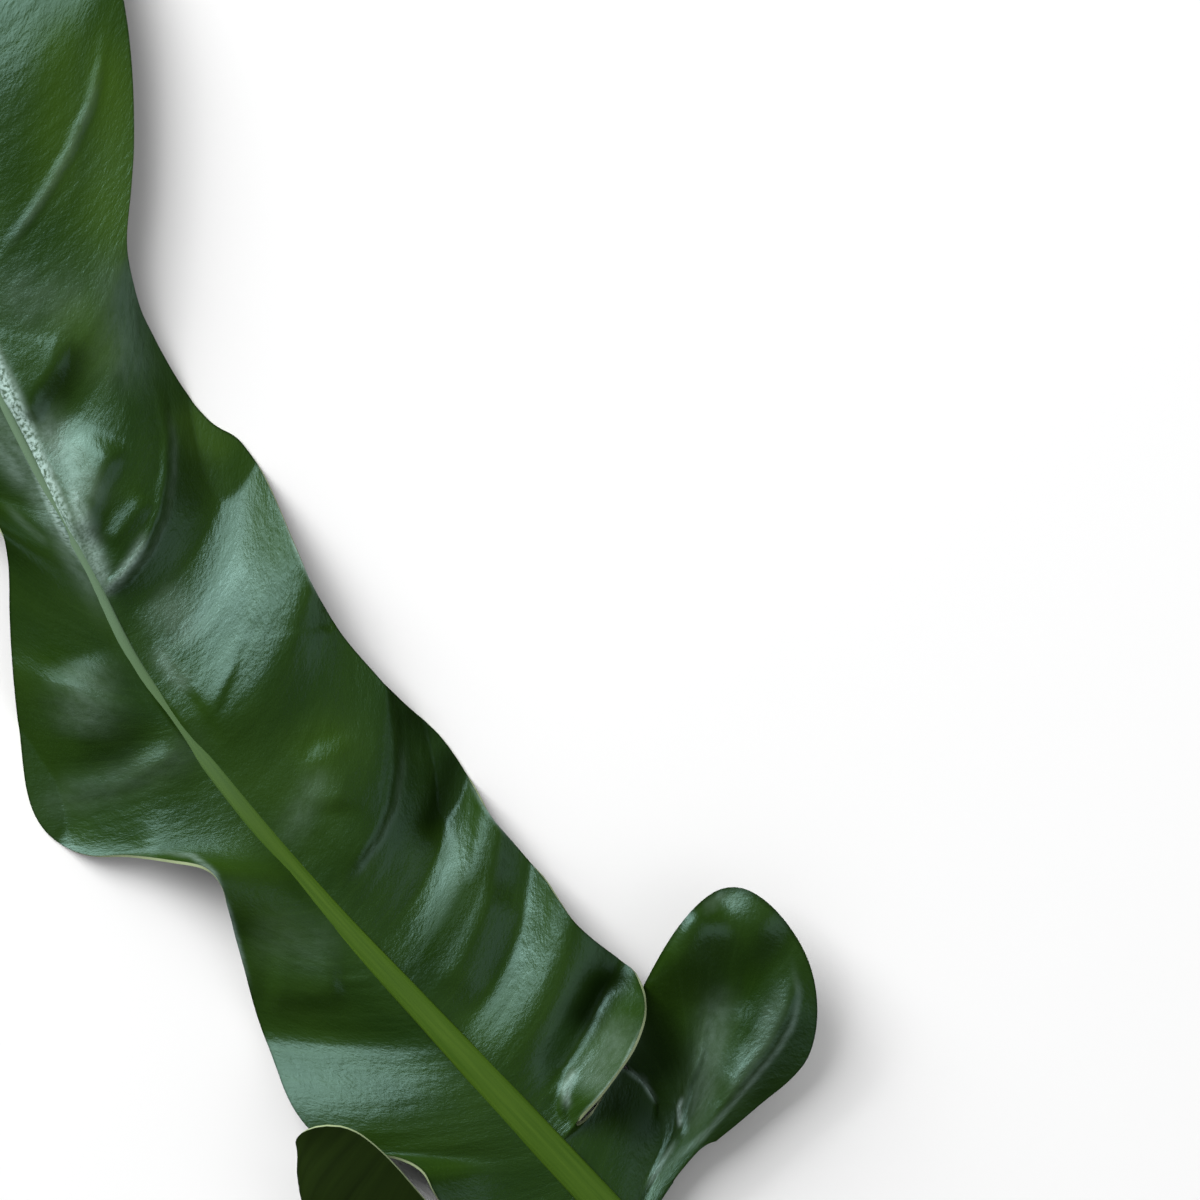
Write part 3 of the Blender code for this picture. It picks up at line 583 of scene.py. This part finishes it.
# %% [markdown]
# ## Marks on the surface
# Some looks are painted at a place and not made by a slope: a painted silvery highlight beside the midrib
# and on glinting edges, painted shade in hollows and along the margin, painted lighter green where the blade
# is lit more, and dull stretches that mirror less. A painted picture could hold them, but here each is a
# soft line. Its strength is stored on the vertices as an attribute, which the finish reads later.

# %% Lines of painted highlight
# points in the picture, strength, half width in mm and, where it isn't the usual one, sharpness of the edge
# painted highlights: a silvery sheen and glints laid into the colour where the blade should shine
PAINTED_HIGHLIGHTS = [
    ([(-60, 250), (-4, 366), (24, 426), (46, 480), (70, 534), (94, 574), (112, 600)], 1, 2.8, 3),
    ([(24, 404), (66, 456), (94, 520)], 0.3, 5.4), ([(66, 456), (84, 528), (112, 606)], 0.5, 2.6),
    ([(-36, 350), (22, 462), (50, 516), (80, 570), (116, 636)], 0.2, 3),
    ([(-20, 430), (8, 460), (34, 496)], 0.25, 3),
    ([(92, 604), (114, 584), (132, 562), (150, 528)], 0.45, 1.5),
    ([(0, 502), (30, 530), (57, 551)], 0.1, 1.2), ([(150, 640), (172, 672), (196, 694)], 0.14, 2.6),
    ([(146, 592), (172, 610), (200, 650)], 0.12, 7), ([(569, 1112), (566, 1090), (578, 1064)], 0.36, 1.2),
    ([(580, 1100), (608, 1060), (632, 1010)], 0.13, 5),
    ([(682, 1150), (706, 1076), (716, 1020), (722, 970)], 0.14, 4.6),
    ([(718, 1120), (762, 1046), (790, 970)], 0.08, 3.4),
    ([(681, 1130), (680, 1108), (684, 1094)], 1, 0.6),
    ([(649, 1182), (708, 1131), (754, 1077), (776, 1051), (792, 1026), (799, 996), (790, 950)],
     0.24, 0.9),
    ([(644, 1192), (664, 1160), (680, 1136)], 0.3, 0.8),
    ([(622, 1068), (643, 1081), (658, 1106)], 0.54, 0.7),
    ([(575, 1122), (598, 1098), (622, 1068), (646, 1020)], 0.36, 0.5),
    ([(150, 852), (193, 857), (214, 874), (230, 915), (240, 950), (252, 996)], 0.4, 0.8),
    ([(276, 496), (298, 552), (322, 604)], 0.42, 0.6), ([(466, 776), (490, 814), (520, 850)], 0.3, 0.6),
    ([(84, 744), (88, 700), (78, 650)], 0.12, 8),
    ([(20, 812), (100, 788), (150, 768), (216, 736)], 0.07, 5),
    ([(280, 850), (305, 805), (330, 760)], 0.07, 4), ([(240, 930), (300, 940), (350, 960)], 0.05, 7),
    ([(0, 262), (24, 225), (48, 189), (69, 153), (91, 103), (103, 50)], 0.1, 1.2),
    ([(110, 236), (122, 300), (124, 360), (118, 410)], 0.08, 8),
    ([(-20, 280), (30, 300), (70, 300), (110, 300)], 0.06, 8),
    ([(700, 912), (722, 898), (744, 900)], 0.18, 1),
    ([(345, 888), (362, 868), (381, 838), (395, 806), (402, 765), (401, 730)], 0.08, 1.1),
    ([(108, 594), (131, 577), (152, 549), (166, 514), (173, 476), (173, 436), (168, 400)], 0.12, 1.1),
]
print(len(PAINTED_HIGHLIGHTS), "lines of wax")

# %% Lines of painted light and painted shade
# painted light: lighter green where the blade is lit more
PAINTED_LIGHT_LINES = [
    ([(100, 0), (116, 110), (112, 220), (122, 300)], 0.75, 9),
    ([(60, -20), (60, 90), (64, 160), (40, 240)], 0.45, 9), ([(60, 290), (90, 330), (120, 380)], 0.5, 8),
    ([(178, 396), (206, 440), (230, 470)], 0.6, 6), ([(300, 700), (330, 760), (360, 700)], 0.25, 12),
    ([(190, 880), (260, 900), (300, 960)], 0.2, 8),
]
# painted shade: darker green in creases, hollows and under the flap, where shade falls
PAINTED_SHADE_LINES = [
    ([(464, 722), (446, 780), (416, 860)], 0.85, 5), ([(400, 700), (424, 724), (448, 744)], 0.5, 4),
    ([(640, 960), (602, 985), (566, 1040)], 0.9, 5), ([(664, 985), (668, 1040), (676, 1090)], 0.5, 6),
    ([(600, 1124), (636, 1110), (664, 1146)], 0.6, 7), ([(740, 1106), (782, 1060), (808, 1010)], 0.35, 5),
    ([(96, 556), (108, 530), (130, 490)], 0.3, 5), ([(186, 520), (200, 470), (196, 440)], 0.3, 6),
    ([(50, 412), (64, 392), (74, 366), (80, 332)], 0.5, 3),
    ([(70, 742), (110, 742), (150, 748)], 0.35, 5),
    ([(390, 1010), (436, 946), (474, 880), (496, 840)], 0.35, 6),
]
print(len(PAINTED_LIGHT_LINES), "young and", len(PAINTED_SHADE_LINES), "painted_shade")

# %% Dull lines
DULL = [
    ([(404, 990), (450, 920), (490, 850)], 0.9, 6), ([(470, 1050), (500, 1004), (526, 950)], 0.45, 6),
    ([(20, 650), (76, 672), (130, 690)], 0.75, 7), ([(120, 768), (152, 752), (190, 732)], 0.6, 5),
    ([(290, 770), (320, 748), (350, 726)], 0.6, 5), ([(40, 820), (120, 850), (220, 856)], 0.4, 8),
    ([(730, 1060), (750, 1000), (760, 950)], 0.6, 6), ([(600, 1140), (640, 1104), (660, 1070)], 0.8, 8),
    ([(96, -160), (110, -20), (100, 90), (96, 180)], 0.6, 9),
    ([(66, -60), (60, 60), (44, 130), (20, 190), (-40, 250)], 0.6, 10),
    ([(100, 160), (70, 220), (20, 290)], 0.45, 7), ([(170, 720), (220, 700), (260, 690)], 0.3, 5),
    ([(90, 548), (118, 514), (156, 476)], 0.4, 4), ([(226, 390), (256, 500), (290, 600)], 0.5, 9),
    ([(548, 1140), (576, 1060), (620, 990)], 0.55, 3), ([(430, 880), (460, 826), (490, 776)], 0.45, 6),
]
print(len(DULL), "dull")

# %% Strength of the marks
MARK_FADE = 0.3
USUAL_SHARPNESS = 2
EDGE_SHADE_STRENGTH = 0.6
EDGE_WIDTH = 0.45e-3
EDGE_ENDS = 1.6
PAINTED_SHADE_IS_DULL = 0.85


def marked(grid, marks):
    picture = in_picture(grid)
    strongest = np.zeros(grid.shape[:2])
    for line, strength, width, *sharp in marks:
        distance, _, share = along_line(picture, line)
        profile = np.exp(-(distance / width)**(sharp[0] if sharp else USUAL_SHARPNESS))
        here = strength * profile * faded(share, MARK_FADE, MARK_FADE)
        strongest = np.maximum(strongest, here)
    return strongest


def painted_edge_shade(grid):
    """Share of the painted shade that runs along the margin as a dark line, about half a millimetre wide."""
    steps = np.linalg.norm(np.diff(grid, axis=1), axis=2)
    left_over = np.cumsum(steps[:, ::-1], axis=1)[:, ::-1]
    left_over = np.concatenate([left_over, np.zeros((len(grid), 1))], 1)
    return EDGE_SHADE_STRENGTH * np.clip(EDGE_ENDS - left_over / EDGE_WIDTH, 0, 1)


def look_of(grid):
    # the painted shade along the margin joins the painted shade of the hollows
    painted_shade = np.maximum(marked(grid, PAINTED_SHADE_LINES), painted_edge_shade(grid))
    dull = np.maximum(marked(grid, DULL), PAINTED_SHADE_IS_DULL * painted_shade)
    return {"painted_highlight": marked(grid, PAINTED_HIGHLIGHTS), "painted_shade": painted_shade, "painted_light": marked(grid, PAINTED_LIGHT_LINES), "dull": dull}


right_look, left_look = look_of(right_fine), look_of(left_fine)
print("strongest wax", [round(float(look["painted_highlight"].max()), 2) for look in (right_look, left_look)])

# %% [markdown]
# ## Everything laid on the net
# The marks were read off the plain net, because they were drawn where the picture shows them. Now the net
# is folded and gets its relief, and what would dip below the floor is laid on it.

# %% Folded net with relief
right_fine = folded(rounded_corner(right_fine), right_columns)
left_fine = folded(left_fine, left_columns)
right_fine = relief(right_fine, right_run, 3)
left_fine = relief(left_fine, left_run, 8)
for grid in (right_fine, left_fine):
    grid[..., 2] = np.maximum(grid[..., 2], FLOOR_GAP)
print("lowest", round(right_fine[..., 2].min() * 1e3, 2), "mm")

# %% [markdown]
# ## From net to mesh
# A plain grid is added with as many squares as the net has, and each of its corners is put on its place in
# the net. A grid brings its own map of the surface, which is stretched here to real lengths: across the
# veins and along them. Solidify then gives the blade its thickness, with one finish on top, one underneath
# and one on the thin margin.

# %% Grid laid on a net
def use_only(thing):
    bpy.ops.object.select_all(action="DESELECT")
    thing.select_set(True)
    bpy.context.view_layer.objects.active = thing


def plain_grid(name, count_along, count_out):
    """A flat grid, with the column and the row of each of its vertices."""
    bpy.ops.mesh.primitive_grid_add(x_subdivisions=count_along, y_subdivisions=count_out, size=1)
    thing = bpy.context.object
    thing.name = thing.data.name = name
    flat = np.empty(len(thing.data.vertices) * 3)
    thing.data.vertices.foreach_get("co", flat)
    corner = flat.reshape(-1, 3)
    i = np.rint((corner[:, 0] + 0.5) * count_along).astype(int)
    j = np.rint((corner[:, 1] + 0.5) * count_out).astype(int)
    return thing, i, j


def lay(mesh, place, across, along):
    """Puts the vertices on their places and stretches the map to real lengths."""
    place[:, :2] -= ORIGIN_SHIFT
    mesh.vertices.foreach_set("co", place.ravel())
    loops = np.empty(len(mesh.loops), int)
    mesh.loops.foreach_get("vertex_index", loops)
    uv = np.stack([across[loops], along[loops]], -1)
    mesh.uv_layers.active.data.foreach_set("uv", uv.ravel())


# %% One half laid on its net
def grid_on_net(name, net, run, look):
    blade, i, j = plain_grid(name, net.shape[0] - 1, net.shape[1] - 1)
    mesh = blade.data
    reach = np.cumsum(np.linalg.norm(np.diff(net, axis=1), axis=2), axis=1)
    reach = np.concatenate([np.zeros((len(net), 1)), reach], 1)
    lay(mesh, net[i, j], run[i], reach[i, j])
    for mark, share in look.items():
        stored_mark = mesh.attributes.new(mark, "FLOAT", "POINT")
        stored_mark.data.foreach_set("value", share[i, j].astype(np.float32))
    mesh.update()
    if sum(face.normal.z for face in mesh.polygons) < 0:
        use_only(blade)
        bpy.ops.object.mode_set(mode="EDIT")
        bpy.ops.mesh.select_all(action="SELECT")
        bpy.ops.mesh.flip_normals()
        bpy.ops.object.mode_set(mode="OBJECT")
    return blade


print("stored marks", list(right_look))

# %% Thickness
SMOOTH_BELOW = math.radians(50)


def apply_solidify(blade):
    use_only(blade)
    wall = blade.modifiers.new("thickness", "SOLIDIFY")
    wall.thickness = BLADE_THICKNESS
    wall.offset = 0
    wall.material_offset = 1
    wall.material_offset_rim = 2
    bpy.ops.object.modifier_apply(modifier=wall.name)
    bpy.ops.object.shade_smooth_by_angle(angle=SMOOTH_BELOW)


print("blade", BLADE_THICKNESS * 1e3, "mm thick")

# %% [markdown]
# ## Finishes
# A leaf has four: the waxy dark green top with its lighter streaks along the side veins, the dull olive
# underside, the thin pale margin and the light green midrib and stalk. Pictures wrapped on the surface
# could show all this, but patterns made from noise have no seams and no end, and they follow the veins
# through the map laid on the grid.

# %% Helpers for finishes
def new_finish(name):
    finish = bpy.data.materials.new(name)
    finish.use_nodes = True
    nodes = finish.node_tree.nodes
    return finish, nodes, nodes["Principled BSDF"]


def feed(node, entry, value):
    """Gives an input its value, which is another node's output, a colour or a number."""
    socket = node.inputs[entry]
    if isinstance(value, bpy.types.NodeSocket):
        node.id_data.links.new(value, socket)
    elif socket.type == "RGBA":
        socket.default_value = (*value, 1.0)
    else:
        socket.default_value = value


def stored(nodes, name):
    value = nodes.new("ShaderNodeAttribute")
    value.attribute_name = name
    return value.outputs["Fac"]


# %% Helpers for patterns
def surface_map(nodes, along=1.0, out=1.0):
    place = nodes.new("ShaderNodeTexCoord")
    stretch = nodes.new("ShaderNodeMapping")
    feed(stretch, "Scale", (along, out, 1.0))
    feed(stretch, "Vector", place.outputs["UV"])
    return stretch.outputs["Vector"]


def noise_on(nodes, along, out, detail, rough):
    """Noise with so many grains a metre along the leaf and from the midrib out."""
    grain = nodes.new("ShaderNodeTexNoise")
    feed(grain, "Scale", 1.0)
    feed(grain, "Detail", detail)
    feed(grain, "Roughness", rough)
    feed(grain, "Vector", surface_map(nodes, along, out))
    return grain.outputs["Fac"]


def ramp(nodes, value, stops):
    blend = nodes.new("ShaderNodeValToRGB")
    points = blend.color_ramp.elements
    for point, (place, colour) in zip(points, stops):
        point.position = place
        point.color = (*colour, 1.0)
    feed(blend, "Fac", value)
    return blend.outputs["Color"]


# %% Helpers that mix and raise
def blend_colours(nodes, share, first, second):
    mix = nodes.new("ShaderNodeMix")
    mix.data_type = "RGBA"
    for entry, value in (("Factor", share), (6, first), (7, second)):
        feed(mix, entry, value)
    return mix.outputs[2]


def times(nodes, first, second, how="MULTIPLY"):
    product = nodes.new("ShaderNodeMath")
    product.operation = how
    feed(product, 0, first)
    feed(product, 1, second)
    return product.outputs[0]


def bump(nodes, height, strength, distance, below):
    raised = nodes.new("ShaderNodeBump")
    feed(raised, "Strength", strength)
    feed(raised, "Distance", distance)
    feed(raised, "Height", height)
    if below is not None:
        feed(raised, "Normal", below)
    return raised.outputs["Normal"]


# %% Patterns of the top
top, nodes, shade = new_finish("leaf top")
fine_veins = noise_on(nodes, 520.0, 24.0, 4.0, 0.6)
leather = noise_on(nodes, 300.0, 220.0, 3.0, 0.5)
pebbles = noise_on(nodes, 1100.0, 800.0, 2.0, 0.55)
patches = noise_on(nodes, 28.0, 22.0, 3.0, 0.55)
grain = noise_on(nodes, 2600.0, 1900.0, 2.0, 0.6)
print("five patterns")

# %% Green of the top
TOP_GREEN = (0.021, 0.053, 0.0035)
TOP_DEEP = (0.011, 0.033, 0.002)
TOP_STREAK = (0.030, 0.070, 0.010)
STREAK_SHARE = 0.25
BLACK = (0, 0, 0)
WHITE = (1, 1, 1)
base = ramp(nodes, patches, [(0.3, TOP_DEEP), (0.7, TOP_GREEN)])
streak = ramp(nodes, fine_veins, [(0.52, BLACK), (0.72, WHITE)])
colour = blend_colours(nodes, times(nodes, streak, STREAK_SHARE), base, TOP_STREAK)
print("green from", TOP_DEEP, "to", TOP_GREEN)

# %% [markdown]
# ## Marks in the finish
# The painted highlight lies in the colour as a pale silvery film, broken into flecks where it is strong and
# cloudy where it is weak. A plain mix with a silvery colour would look flat, so the stored strength is first
# multiplied by a pattern. Painted lighter green and painted shade are mixed in before it.

# %% Painted light, shade and highlight of the top
# silvery colour of the painted highlight
PAINTED_HIGHLIGHT_SILVER = (0.390, 0.535, 0.485)
# dark green of the painted shade
PAINTED_SHADE_GREEN = (0.004, 0.011, 0.001)
# lighter green of the painted light
PAINTED_LIGHT_GREEN = (0.040, 0.088, 0.006)
LEAST_FLECK = (0.16, 0.16, 0.16)
LEAST_CLOUD = (0.55, 0.55, 0.55)
flecked = ramp(nodes, pebbles, [(0.38, LEAST_FLECK), (0.58, WHITE)])
cloudy = ramp(nodes, leather, [(0.36, LEAST_CLOUD), (0.62, WHITE)])
broken = blend_colours(nodes, stored(nodes, "painted_highlight"), cloudy, flecked)
painted_highlight_share = times(nodes, stored(nodes, "painted_highlight"), broken)
colour = blend_colours(nodes, stored(nodes, "painted_light"), colour, PAINTED_LIGHT_GREEN)
colour = blend_colours(nodes, stored(nodes, "painted_shade"), colour, PAINTED_SHADE_GREEN)
feed(shade, "Base Color", blend_colours(nodes, painted_highlight_share, colour, PAINTED_HIGHLIGHT_SILVER))
print("painted_highlight", PAINTED_HIGHLIGHT_SILVER)

# %% Shine of the top
SMOOTHEST = 0.26
ROUGHEST = 0.36
GLOSS = 0.60
GREEN_SHINE = (0.61, 1.0, 0.97)
rough = nodes.new("ShaderNodeMapRange")
feed(rough, "To Min", SMOOTHEST)
feed(rough, "To Max", ROUGHEST)
feed(rough, "Value", grain)
feed(shade, "Roughness", rough.outputs["Result"])
not_dull = times(nodes, 1.0, stored(nodes, "dull"), "SUBTRACT")
feed(shade, "Specular IOR Level", times(nodes, not_dull, GLOSS))
feed(shade, "Specular Tint", GREEN_SHINE)
print("roughness from", SMOOTHEST, "to", ROUGHEST)

# %% Bumps of the top
# pattern, strength and height in m, each laid over the one before
BUMPS = [(fine_veins, 0.10, 0.0002), (leather, 0.27, 0.0007), (pebbles, 0.30, 0.0003), (grain, 0.20, 0.0001)]
raised = None
for pattern, strength, height in BUMPS:
    raised = bump(nodes, pattern, strength, height, raised)
feed(shade, "Normal", raised)
print(len(BUMPS), "bumps")

# %% Underside and margin
UNDER_DEEP = (0.007, 0.016, 0.001)
UNDER_GREEN = (0.013, 0.028, 0.002)
MARGIN_PALE = (0.30, 0.37, 0.20)
under, nodes, shade = new_finish("leaf underside")
fine_veins = noise_on(nodes, 420.0, 16.0, 3.0, 0.6)
feed(shade, "Base Color", ramp(nodes, fine_veins, [(0.3, UNDER_DEEP), (0.7, UNDER_GREEN)]))
feed(shade, "Roughness", 0.5)
feed(shade, "Specular IOR Level", 0.15)
rim, nodes, shade = new_finish("leaf margin")
feed(shade, "Base Color", MARGIN_PALE)
feed(shade, "Roughness", 0.45)
print("margin", MARGIN_PALE)

# %% Finish of the midrib
# green at the stalk and grey towards the tip, changing between two distances from the end of the stalk in m
GREY_BEGINS = 0.245
GREY_FULL = 0.375
RIB_DEEP = (0.036, 0.088, 0.005)
RIB_GREEN = (0.058, 0.120, 0.009)
RIB_GREY = (0.120, 0.200, 0.120)
rib, nodes, shade = new_finish("midrib")
greens = ramp(nodes, noise_on(nodes, 30.0, 900.0, 3.0, 0.6), [(0.3, RIB_DEEP), (0.7, RIB_GREEN)])
run_along = nodes.new("ShaderNodeSeparateXYZ")
feed(run_along, "Vector", surface_map(nodes))
towards_tip = nodes.new("ShaderNodeMapRange")
towards_tip.interpolation_type = "SMOOTHSTEP"
feed(towards_tip, "From Min", GREY_BEGINS)
feed(towards_tip, "From Max", GREY_FULL)
feed(towards_tip, "Value", run_along.outputs["X"])
feed(shade, "Base Color", blend_colours(nodes, towards_tip.outputs["Result"], greens, RIB_GREY))
feed(shade, "Roughness", 0.42)
feed(shade, "Specular IOR Level", 0.22)
print("finishes", [finish.name for finish in (top, under, rim, rib)])

# %% [markdown]
# ## The two halves of the blade
# The halves meet under the midrib, which covers their seam. Making them apart keeps each one light enough
# for the library while its mesh stays about a millimetre fine.

# %% Blade halves
halves = []
for name, net, run, look in (
    ("blade_right", right_fine, right_run, right_look), ("blade_left", left_fine, left_run, left_look),
):
    half = grid_on_net(name, net, run, look)
    for finish in (top, under, rim):
        half.data.materials.append(finish)
    apply_solidify(half)
    halves.append(half)
    tops = sum(1 for face in half.data.polygons if face.material_index == 0 and face.normal.z > 0)
    print(name, len(half.data.polygons), "faces,", tops, "of the top look up")

# %% [markdown]
# ## The midrib and the stalk
# The midrib is a rib that stands out more below the blade than above it and thins out towards the tip.
# Behind the blade it goes on as the round stalk. A curve with a round bevel would be quick, but its section
# is the same above and below. So a grid is rolled up instead: each of its rings gets the rib's own width,
# and each ring is flatter above.

# %% Rings of the midrib and stalk
RIB_RINGS = 260
STALK_RINGS = 16
RIB_ENDS = (-30, 532)
STALK_TAKES_OVER = 0.03
LAST_STALK_STEP = 0.06
STALK_SINKS = 0.1e-3

rod_places = np.linspace(*RIB_ENDS, RIB_RINGS - STALK_RINGS)
rod_width = through([k for k, _ in RIB_WIDTH], [w for _, w in RIB_WIDTH], rod_places)[:, 0] * 1e-3
rod_centre, rod_ahead, rod_aside = on_midrib(rod_places)
stalk_steps = np.linspace(1.0, LAST_STALK_STEP, STALK_RINGS)
stalk_centre = rod_centre[0] - rod_ahead[0] * (STALK_LENGTH - STALK_TAKES_OVER) * stalk_steps[:, None]
stalk_heights = [STALK_RADIUS, STALK_RADIUS, rod_centre[0, 2]]
drop = through([0, 0.5, 1], stalk_heights, 1 - stalk_steps)[:, 0]
stalk_centre[:, 2] = np.minimum(drop, rod_centre[0, 2]) - STALK_SINKS
rod_centre = np.concatenate([stalk_centre, rod_centre])
rod_aside = np.concatenate([np.repeat(rod_aside[:1], STALK_RINGS, 0), rod_aside])
rod_width = np.concatenate([np.full(STALK_RINGS, STALK_RADIUS), rod_width])
rod_run = np.concatenate([[0], np.cumsum(np.linalg.norm(np.diff(rod_centre, axis=0), axis=1))])
print("midrib and stalk", round(rod_run[-1], 3), "m long")

# %% Midrib and stalk
RIB_SIDES = 28
RIB_LIFT = 0.5e-3
RIB_ABOVE = 0.30
RIB_BELOW = 0.95
RIB_ROUNDNESS = 0.7
ROD_FLOOR_GAP = 0.05e-3
MAP_RADIUS = 0.004

midrib, i, j = plain_grid("midrib_and_stalk", RIB_RINGS - 1, RIB_SIDES)
turn = 2 * np.pi * j / RIB_SIDES
place = rod_centre[i] + rod_aside[i] * (rod_width[i] * np.cos(turn))[:, None]
rise = np.sign(np.sin(turn)) * np.abs(np.sin(turn)) ** RIB_ROUNDNESS
above = (RIB_ABOVE * rod_width[i] + RIB_LIFT) * rise
place[:, 2] += np.where(rise > 0, above, RIB_BELOW * rod_width[i] * rise)
place[:, 2] = np.maximum(place[:, 2], ROD_FLOOR_GAP)
lay(midrib.data, place, rod_run[i], turn * MAP_RADIUS)
print("rolled up with", RIB_SIDES, "sides")

# %% Closed ends of the rod
use_only(midrib)
bpy.ops.object.mode_set(mode="EDIT")
bpy.ops.mesh.select_all(action="SELECT")
bpy.ops.mesh.remove_doubles(threshold=1e-5)
bpy.ops.mesh.select_all(action="DESELECT")
bpy.ops.mesh.select_non_manifold(extend=False, use_boundary=True)
bpy.ops.mesh.fill_holes(sides=0)
bpy.ops.mesh.select_all(action="SELECT")
bpy.ops.mesh.normals_make_consistent(inside=False)
bpy.ops.object.mode_set(mode="OBJECT")
midrib.data.materials.append(rib)
bpy.ops.object.shade_smooth_by_angle(angle=SMOOTH_BELOW)
print("midrib_and_stalk", len(midrib.data.polygons), "faces")

# %% [markdown]
# ## What each piece belongs to
# The leaf is one body. All three finer pieces together stand for the one solid of the measured part, and
# move with it.

# %% Ride and replace
for piece in halves + [midrib]:
    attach(piece, "root")
    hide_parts("leaf")

# %% [markdown]
# ## Floor, light and camera
# The leaf was photographed from straight above on white, lit from its upper left. Two large lamps stand
# there. The high one is mirrored by the blade faces that fall towards the tip, which is what draws the pale
# bands. The low one has no mirror image and makes the broad soft shadow to the lower right. One lamp can't
# do both, as a light low enough for that shadow would put the bands elsewhere.

# %% Floor
bpy.ops.mesh.primitive_plane_add(size=12, location=(0, 0, 0))
floor = bpy.context.object
floor.name = "floor"
FLOOR_WHITE = (0.88, 0.88, 0.88)
floor_finish, nodes, shade = new_finish("white floor")
feed(shade, "Base Color", FLOOR_WHITE)
feed(shade, "Roughness", 0.9)
feed(shade, "Specular IOR Level", 0.0)
floor.data.materials.append(floor_finish)
floor.visible_glossy = False
print("floor", round(floor.dimensions.x), "m wide")

# %% Where the picture lies
picture_up = np.array([-CHORD[1], -SIDE[1], 0.0])
picture_right = np.array([CHORD[0], SIDE[0], 0.0])
view_centre = to_leaf(*PICTURE_CENTRE, 0.0)
view_centre[:2] -= ORIGIN_SHIFT
print("middle of the picture at", [round(float(value), 3) for value in view_centre])

# %% Lights
# to the right, up and high from the middle of the picture in m, then width and height in m and watts
def soft_light(name, right, up, high, width, height, watts, mirrored=0.0):
    spot = Vector(view_centre + picture_right * right + picture_up * up + np.array([0, 0, high]))
    bpy.ops.object.light_add(type="AREA", location=spot)
    lamp = bpy.context.object
    lamp.name = name
    lamp.data.shape = "RECTANGLE"
    lamp.data.size, lamp.data.size_y = width, height
    lamp.data.energy = watts
    lamp.data.specular_factor = mirrored
    lamp.rotation_euler = (Vector(view_centre) - spot).to_track_quat("-Z", "Y").to_euler()
    print(name, watts, "watts")


soft_light("window light", -2.2, 2.4, 3.4, 3.2, 3.2, 168, mirrored=1.0)
soft_light("low window light", -3.4, 3.2, 1.7, 2.6, 2.6, 215)
soft_light("fill", 1.6, -0.6, 1.6, 1.6, 1.6, 6)

# %% Light of the room
ROOM_LIGHT = 0.33
world = bpy.data.worlds.new("room")
bpy.context.scene.world = world
world.use_nodes = True
feed(world.node_tree.nodes["Background"], "Color", WHITE)
feed(world.node_tree.nodes["Background"], "Strength", ROOM_LIGHT)
world.cycles_visibility.glossy = False
print("room light", ROOM_LIGHT)

# %% Camera
picture_span = PICTURE_WIDTH * PIXEL_SIZE
SENSOR = 36.0
eye = bpy.data.cameras.new("camera")
eye.sensor_width = SENSOR
eye.lens = SENSOR * CAMERA_HEIGHT / picture_span
eye.clip_end = 50
camera = bpy.data.objects.new("camera", eye)
bpy.context.scene.collection.objects.link(camera)
camera.location = Vector(view_centre + np.array([0, 0, CAMERA_HEIGHT]))
camera.rotation_euler = (0, 0, math.atan2(picture_right[1], picture_right[0]))
bpy.context.scene.camera = camera
bpy.context.scene.view_settings.view_transform = "Standard"
print("lens", round(eye.lens, 1), "mm")
